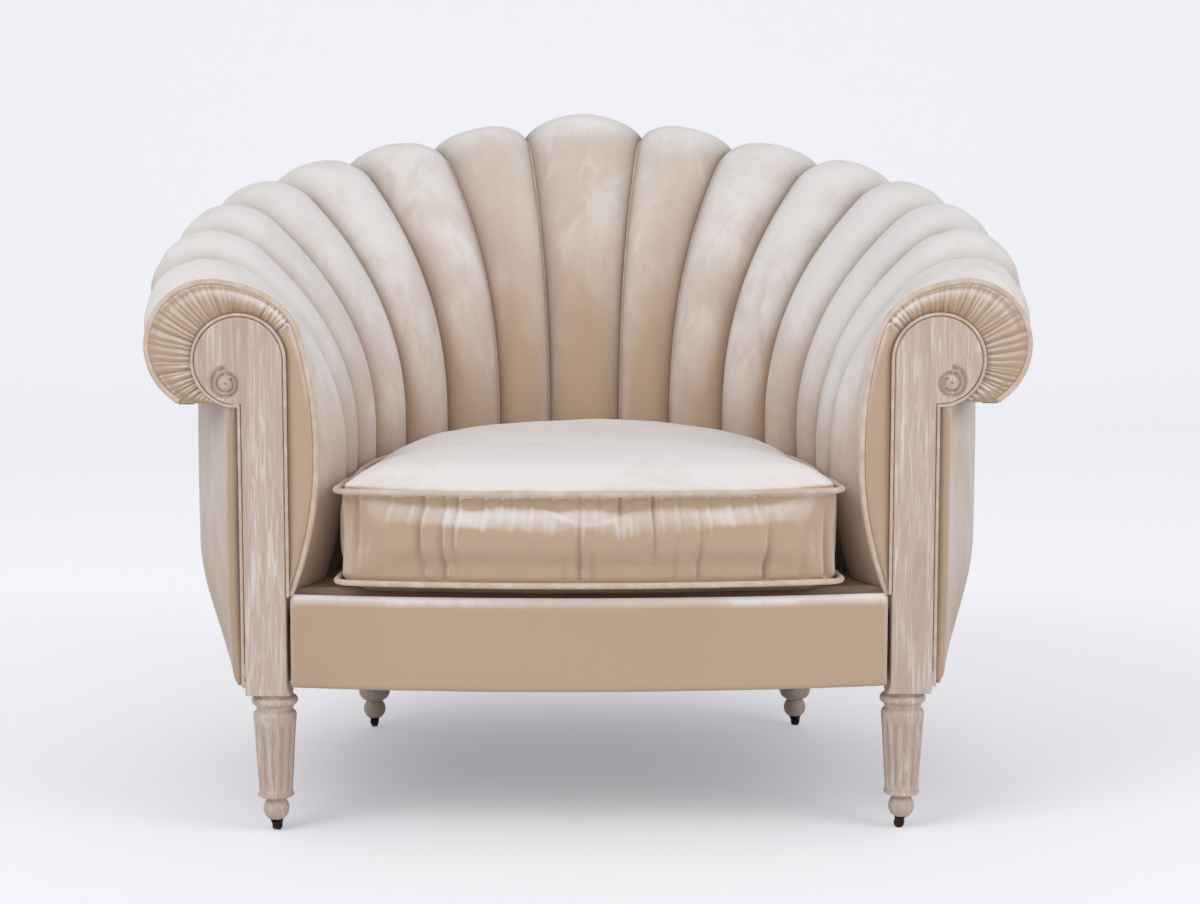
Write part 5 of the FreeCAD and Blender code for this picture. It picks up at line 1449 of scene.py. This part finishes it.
BAND_KNOT, BAND_SWING, BAND_HALF = 0.05, 0.5, 0.24
BAND_PARTS, BAND_COLUMNS = 90, 6
APRON_BOW, APRON_THICKNESS = 0.87, 0.0118
APRON_COLUMNS, APRON_ROWS = 120, 40
# How far in from an edge the apron is eased, and how deep
APRON_TOP, APRON_HEM, APRON_SIDE = (0.014, 0.010), (0.005, 0.0028), (0.006, 0.002)
APRON_RIPPLE, APRON_RIPPLE_SCALE = 0.0012, 8.0
DECK_INSET, DECK_PUFF, DUST_INSET = 0.047, 0.0025, 0.0145
PLATE_PLACES, PLATE_COLUMNS = 60, 12


def separate_boxes(thing):
    """Low and high corners of each separate solid in a node of the frame."""
    mesh = thing.data
    keys = [tuple(round(value, 5) for value in vertex.co) for vertex in mesh.vertices]
    home = {key: key for key in keys}

    def root(key):
        while home[key] != key:
            key = home[key]
        return key

    for edge in mesh.edges:
        home[root(keys[edge.vertices[0]])] = root(keys[edge.vertices[1]])
    groups = {}
    for key in home:
        groups.setdefault(root(key), []).append(key)
    return [([min(values) for values in zip(*group)], [max(values) for values in zip(*group)])
            for group in groups.values()]


def woven_level(way, crossings, end):
    """Level of a band from -1 to 1 where it goes over and under the bands that it crosses."""
    knots = [(crossings[0][0] - BAND_KNOT, end), *crossings, (crossings[-1][0] + BAND_KNOT, end)]
    for (before, first), (after, second) in zip(knots, knots[1:]):
        if before <= way <= after:
            return mix(first, second, smooth((way - before) / (after - before)))
    return end


def woven_bands():
    """Interlaced bands, each with its width, length and mesh."""
    boxes = separate_boxes(frame["nodes"]["seat_webbing"])
    lengthwise = sorted(box for box in boxes if box[1][1] - box[0][1] > box[1][0] - box[0][0])
    across = sorted((box for box in boxes if box not in lengthwise), key=lambda box: box[0][1])
    low = min(box[0][2] for box in boxes)
    thickness = max(box[1][2] for box in boxes) - low
    made = []
    for group, others, axis, end in ((lengthwise, across, 1, -1), (across, lengthwise, 0, 1)):
        for index, (start, stop) in enumerate(group):
            crossings = [((other[0][axis] + other[1][axis]) / 2, end * (-1) ** (index + number))
                         for number, other in enumerate(others)]
            near, far = [], []
            for way in steps(start[axis], stop[axis], BAND_PARTS):
                centre = low + thickness / 2 * (1 + BAND_SWING * woven_level(way, crossings, end))
                upper, lower = [], []
                for side in steps(start[1 - axis], stop[1 - axis], BAND_COLUMNS):
                    spot = (side, way) if axis else (way, side)
                    upper.append(Vector((*spot, centre + thickness * BAND_HALF)))
                    lower.append(Vector((*spot, centre - thickness * BAND_HALF)))
                near.append(upper)
                far.append(lower)
            name = f"jute_band_{'long' if axis else 'cross'}_{index + 1}"
            flat = (stop[1 - axis] - start[1 - axis], stop[axis] - start[axis])
            made.append((slab(name, near, far, sharp=40), flat, axis))
    return made


def apron():
    """Bowed board in velvet, rounded over at its top and eased at its hem and ends."""
    low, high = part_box("front_apron")
    half = high[0]
    bow = settings("cushion").bow * APRON_BOW
    near, far = [], []
    for across in steps(-half, half, APRON_COLUMNS):
        front = FRONT - bow * (1 - (across / half) ** 2)
        outer, inner = [], []
        for up in steps(low[2], high[2], APRON_ROWS):
            top, hem, end = [max(0.0, 1 - gap / reach) for gap, (reach, _) in
                             ((high[2] - up, APRON_TOP), (up - low[2], APRON_HEM),
                              (half - abs(across), APRON_SIDE))]
            depth = APRON_TOP[1] * (1 - math.sqrt(1 - top ** 2)) + APRON_HEM[1] * hem ** 2
            depth += APRON_SIDE[1] * end ** 2
            depth += ripple((across, 0, up), APRON_RIPPLE_SCALE, APRON_RIPPLE)
            outer.append(Vector((across, front + depth, up)))
            inner.append(Vector((across, front + APRON_THICKNESS, up)))
        near.append(outer)
        far.append(inner)
    return slab("apron_velvet", near, far)


class ARMCHAIR_OT_seat_base(bpy.types.Operator):
    """Padded front apron, deck, webbing and dust cover"""
    bl_idname = "armchair.seat_base"
    bl_label = "Seat Base"

    def execute(self, context):
        front = finish_piece(apron(), material_for("velvet"), "root", "velvet", "front_apron")
        self.plate("deck_pad", "seat_deck", "deck_cloth", DECK_INSET, DECK_PUFF)
        self.plate("dust_cloth", "dust_cover", "dust_cloth", DUST_INSET, 0.0)
        for band, flat, axis in woven_bands():
            finish_piece(band, material_for("webbing"), "root", "webbing", "seat_webbing")
        return {"FINISHED"}

    def plate(self, name, node, slot_name, inset, puff):
        """Level pad or cloth inside the foot of the panels, in the place of its node."""
        low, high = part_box(node)
        front = low[1] - FRONT
        base, edge = foot_curve(), Back().edge
        places = steps(edge, 0, PLATE_PLACES)
        right = [base.offset(base.length * place / edge, -inset) for place in places]
        right = [spot for spot in right if spot.y > front + 0.001]
        near, far = [], []
        for way in steps(0, 1, PLATE_COLUMNS):
            upper, lower = [], []
            for spot in [Vector((right[0].x, front))] + right:
                across = spot.x * (1 - way)
                raised = high[2] + puff * (1 - way ** 2 * 0.2) if puff else high[2]
                upper.append(Vector((across, FRONT + spot.y, raised - puff)))
                lower.append(Vector((across, FRONT + spot.y, low[2])))
            near.append(upper)
            far.append(lower)
        half = slab(name, near, far)
        mirror = half.modifiers.new("halves", "MIRROR")
        mirror.use_clip = True
        mirror.merge_threshold = 0.0005
        settle(half, mirror)
        outward_faces(half)
        piece = finish_piece(half, material_for(slot_name), "root", slot_name, node)


# Posts and legs

VOLUTE_REACH, VOLUTE_LAPS, VOLUTE_TURNS, VOLUTE_SHRINK = 1.3, 3, 1.9, 0.80
GROOVE_WIDTH, GROOVE_SPREAD = 0.0013, 0.0014
BUTTON_RISE, BUTTON_RADIUS = 0.0018, 0.0036
LEDGE_EASE, FLARE_HEIGHT = 0.0006, 0.014
POST_COLUMNS, POST_ROWS, SCROLL_ROWS, HEAD_ROWS = 64, 120, 44, 46
LAST_HEAD_ANGLE = math.radians(88)
FLUTE_END, FLUTE_SHARPNESS = 0.006, 1.6
LEG_REACH = {"front": 0.028, "rear": 0.024}
THROAT, THROAT_TOP, BALL, BALL_UP = 0.0115, 0.0395, 0.0158, 0.0276
FLUTES_FOOT, FLUTES_DROP = 0.0515, 0.038


def carve(across, up):
    """Depth of the carving on the right-hand scroll: a volute of two turns with a button."""
    wood = settings("wood")
    eye = scroll_centre() + Vector((wood.volute_across, -wood.volute_drop))
    reach = Vector((across, up)) - eye
    away = reach.length
    depth = 0.0
    if away < wood.volute_radius * VOLUTE_REACH:
        angle = math.atan2(reach.y, reach.x)
        for lap in range(VOLUTE_LAPS):
            way = (math.pi / 2 - angle + 2 * math.pi * lap) / (2 * math.pi)
            if way < 0:
                continue
            groove = wood.volute_radius * VOLUTE_SHRINK ** (2 * way) if way < VOLUTE_TURNS else 0.0
            width = GROOVE_WIDTH + GROOVE_SPREAD * groove / wood.volute_radius
            depth = max(depth, wood.volute_sink * math.exp(-((away - groove) / width) ** 2))
        depth -= BUTTON_RISE * math.exp(-(away / BUTTON_RADIUS) ** 2)
    return depth


def post(side, name):
    """Post with a round head, eased edges and a carved volute."""
    wood, centre = settings("wood"), scroll_centre()
    radius, ledge = wood.scroll_radius, wood.scroll_height - wood.scroll_drop
    outer = wood.post_inner + wood.post_width
    near, far, painted_shade = [], [], []
    heights = steps(FLOOR_TO_POST, ledge - LEDGE_EASE, POST_ROWS)
    heights += steps(ledge + LEDGE_EASE, centre.y, SCROLL_ROWS)
    heights += [centre.y + radius * math.sin(angle) for angle in steps(0, LAST_HEAD_ANGLE, HEAD_ROWS)[1:]]
    for up in heights:
        left, right = wood.post_inner, outer
        if up > ledge:
            half = math.sqrt(max(radius ** 2 - (up - centre.y) ** 2, 0.0))
            right = centre.x + half
            if up > centre.y:
                left = centre.x - half
        left -= wood.foot_flare * max(0.0, 1 - (up - FLOOR_TO_POST) / FLARE_HEIGHT) ** 2
        front_row, back_row = [], []
        for way in steps(0, 1, POST_COLUMNS):
            across = mix(left, right, way)
            edge = min(across - left, right - across)
            if up > centre.y:
                edge = min(edge, radius - (Vector((across, up)) - centre).length)
            if ledge < up < ledge + wood.edge and across > outer:
                edge = min(edge, up - ledge)
            eased = max(0.0, 1 - max(edge, 0.0) / wood.edge)
            carved = carve(across, up)
            # Painted shade in the carved groove, darker where it is cut deeper.
            painted_shade.append(min(max(carved / wood.volute_sink, 0.0), 1.0))
            depth = wood.edge * 0.8 * (1 - math.sqrt(max(1 - eased ** 2, 0.0))) + carved
            front_row.append(Vector((side * across, FRONT + depth, up)))
            back_row.append(Vector((side * across, FRONT + POST_DEPTH, up)))
        near.append(front_row)
        far.append(back_row)
    return slab("oak_post_" + name, near, far, sharp=40, folds=painted_shade + [0.0] * len(painted_shade))


def lathe(name, middles, profile, sides, flutes=None):
    """Turned solids from a profile of radius and height, with flutes down one stretch."""
    spots, faces, painted_shade = [], [], []
    for middle in middles:
        base = len(spots)
        for radius, up in profile:
            for step in range(sides):
                angle = 2 * math.pi * step / sides
                reach, hollow = radius, 0.0
                if flutes and flutes["foot"] < up < flutes["top"]:
                    run = min((up - flutes["foot"]) / FLUTE_END, (flutes["top"] - up) / FLUTE_END, 1.0)
                    wave = 0.5 + 0.5 * math.cos(angle * flutes["number"])
                    hollow = wave ** FLUTE_SHARPNESS * math.sqrt(run)
                    reach -= flutes["depth"] * hollow
                # Painted shade in the flutes, darker towards the bottom of a flute.
                painted_shade.append(hollow * 0.8)
                spots.append((middle[0] + reach * math.cos(angle), middle[1] + reach * math.sin(angle), up))
        faces += [tuple(index + base for index in face) for face in tube_faces(len(profile), sides)]
    return outward_faces(mesh_object(name, spots, faces, painted_shade), sharp=50)


def arc(centre_radius, centre_up, radius, start, end, number):
    """Profile spots along an arc, angles in degrees from level outwards."""
    made = []
    for angle in steps(math.radians(start), math.radians(end), number):
        made.append((centre_radius + radius * math.cos(angle), centre_up + radius * math.sin(angle)))
    return made


def ball_foot():
    """Throat, ball and flat at the foot of a leg."""
    return [(THROAT, THROAT_TOP)] + arc(0.0, BALL_UP, BALL, 48, -52, 18)


def front_profile():
    """Radius and height down a front leg: cap, ring, collar, fluted taper, ring and ball."""
    top = settings("wood").leg_height
    spots = [(0.022, top)] + arc(0.0225, top - 0.0103, 0.0057, 80, -80, 10)
    spots += [(0.0222, top - 0.0205), (0.0218, top - 0.0222)]
    spots += arc(0.0205, top - 0.0285, 0.0058, 70, -10, 7)
    spots += [(0.0261, top - 0.033)]
    for part in steps(0, 1, 60):
        spots.append((mix(0.0259, 0.0204, part), mix(top - 0.0345, 0.0485, part)))
    spots += arc(0.0195, 0.0455, 0.0024, 70, -70, 6)
    return spots + ball_foot()


def rear_profile():
    """Radius and height down a rear leg: block, ring, bun and ball."""
    top = FRAME_FOOT
    spots = [(0.0235, top), (0.0235, 0.071)] + arc(0.0205, 0.069, 0.003, 60, -60, 5) + [(0.0176, 0.0645)]
    spots += arc(0.0085, 0.0535, 0.0138, 62, -55, 14)
    return spots + ball_foot()


class ARMCHAIR_OT_oak(bpy.types.Operator):
    """Limed oak posts and turned legs"""
    bl_idname = "armchair.oak"
    bl_label = "Posts and Legs"

    def execute(self, context):
        wood = settings("wood")
        oak = material_for("limed_oak")
        for name, side in SIDES:
            finish_piece(post(side, name), oak, "root", "limed_oak", "arm_post_" + name)
        for row, profile in (("front", front_profile()), ("rear", rear_profile())):
            low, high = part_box(row + "_legs")
            depth = (low[1] + high[1]) / 2
            middles = [(low[0] + LEG_REACH[row], depth), (high[0] - LEG_REACH[row], depth)]
            flutes = None
            if row == "front":
                flutes = {"foot": FLUTES_FOOT, "top": wood.leg_height - FLUTES_DROP, "number": wood.flutes,
                          "depth": wood.flute_depth}
            legs = lathe("oak_legs_" + row, middles, profile, wood.turning_sides, flutes)
            finish_piece(legs, oak, "root", "limed_oak", row + "_legs")
        return {"FINISHED"}


# Frame nodes that stay

class ARMCHAIR_OT_frame_finish(bpy.types.Operator):
    """Finishes for the nodes of the frame that stay in view"""
    bl_idname = "armchair.frame_finish"
    bl_label = "Frame Finishes"

    def execute(self, context):
        slots = {part["node"]: part["material_slot"] for part in frame["record"]["subparts"]}
        for node, thing in frame["nodes"].items():
            if slots[node] in ("frame_wood", "dark_bronze"):
                thing.data.materials.clear()
                thing.data.materials.append(material_for(slots[node]))
        return {"FINISHED"}


# Stage

LAMP_TARGET = (0.0, 0.0, 0.45)
# Place and width of each lamp
LAMPS = {"key": ((-2.2, -2.4, 2.9), 2.6), "fill": ((2.7, -2.0, 2.0), 2.6), "front": ((0.2, -4.2, 1.6), 2.2)}
SENSOR_WIDTH = 36.0
CAMERA_FAR = 60.0
BACKDROP_PARTS = 12


def soft_lamp(name, spot, target, size, power):
    lamp = bpy.data.lights.new(name, "AREA")
    lamp.shape = "DISK"
    lamp.size = size
    lamp.energy = power
    thing = link(bpy.data.objects.new(name, lamp))
    thing.location = spot
    thing.rotation_euler = (Vector(target) - Vector(spot)).to_track_quat("-Z", "Y").to_euler()


class ARMCHAIR_OT_stage(bpy.types.Operator):
    """Floor, backdrop, soft light and the camera at the photograph's viewing angle"""
    bl_idname = "armchair.stage"
    bl_label = "Stage"

    def execute(self, context):
        stage = settings("stage")
        reach, back, bend = stage.floor_reach, stage.backdrop_back, stage.backdrop_bend
        line = [(-reach, 0.0)]
        for angle in steps(0, math.pi / 2, BACKDROP_PARTS):
            line.append((back + bend * math.sin(angle), bend * (1 - math.cos(angle))))
        line.append((back + bend, reach))
        spots = [(side * reach, depth, up) for depth, up in line for side in (-1, 1)]
        faces = [(2 * row, 2 * row + 1, 2 * row + 3, 2 * row + 2) for row in range(len(line) - 1)]
        floor = mesh_object("studio_floor", spots, faces)
        floor.data.materials.append(floor_material())

        for name, (spot, size) in LAMPS.items():
            soft_lamp(name + "_lamp", spot, LAMP_TARGET, size, getattr(stage, name + "_power"))

        world = bpy.data.worlds.new("studio")
        world.use_nodes = True
        background = world.node_tree.nodes["Background"]
        background.inputs["Color"].default_value = (*WHITE, 1.0)
        background.inputs["Strength"].default_value = stage.sky_strength
        context.scene.world = world

        camera = bpy.data.cameras.new("photo_camera")
        camera.sensor_width = SENSOR_WIDTH
        camera.lens = stage.focal_pixels * camera.sensor_width / PHOTO_WIDTH
        camera.clip_end = CAMERA_FAR
        thing = link(bpy.data.objects.new("photo_camera", camera))
        thing.location = stage.camera_place
        thing.rotation_euler = (math.pi / 2 + stage.camera_pitch, 0.0, stage.camera_yaw)
        context.scene.camera = thing
        context.scene.view_settings.view_transform = "Standard"
        return {"FINISHED"}


OPERATORS = [ARMCHAIR_OT_channels, ARMCHAIR_OT_panels, ARMCHAIR_OT_arm_fronts, ARMCHAIR_OT_cushion,
             ARMCHAIR_OT_seat_base, ARMCHAIR_OT_oak, ARMCHAIR_OT_frame_finish, ARMCHAIR_OT_stage]
GROUPS = {"back": BackSettings, "panels": PanelSettings, "trim": TrimSettings, "cushion": CushionSettings,
          "wood": WoodSettings, "finish": FinishSettings, "stage": StageSettings}


class ARMCHAIR_PT_sidebar(bpy.types.Panel):
    """Lists the pieces of the armchair"""
    bl_label = "Armchair"
    bl_idname = "ARMCHAIR_PT_sidebar"
    bl_space_type = "VIEW_3D"
    bl_region_type = "UI"
    bl_category = "Armchair"

    def draw(self, context):
        for operator in OPERATORS:
            self.layout.operator(operator.bl_idname)


def register():
    for item in [*GROUPS.values(), *OPERATORS, ARMCHAIR_PT_sidebar]:
        bpy.utils.register_class(item)
    for name, group in GROUPS.items():
        setattr(bpy.types.Scene, "armchair_" + name, bpy.props.PointerProperty(type=group))


def unregister():
    for name in GROUPS:
        delattr(bpy.types.Scene, "armchair_" + name)
    for item in [ARMCHAIR_PT_sidebar, *reversed(OPERATORS), *reversed(GROUPS.values())]:
        bpy.utils.unregister_class(item)


def main():
    register()
    for operator in OPERATORS:
        getattr(bpy.ops.armchair, operator.bl_idname.split(".")[1])()


if __name__ == "__main__":
    main()
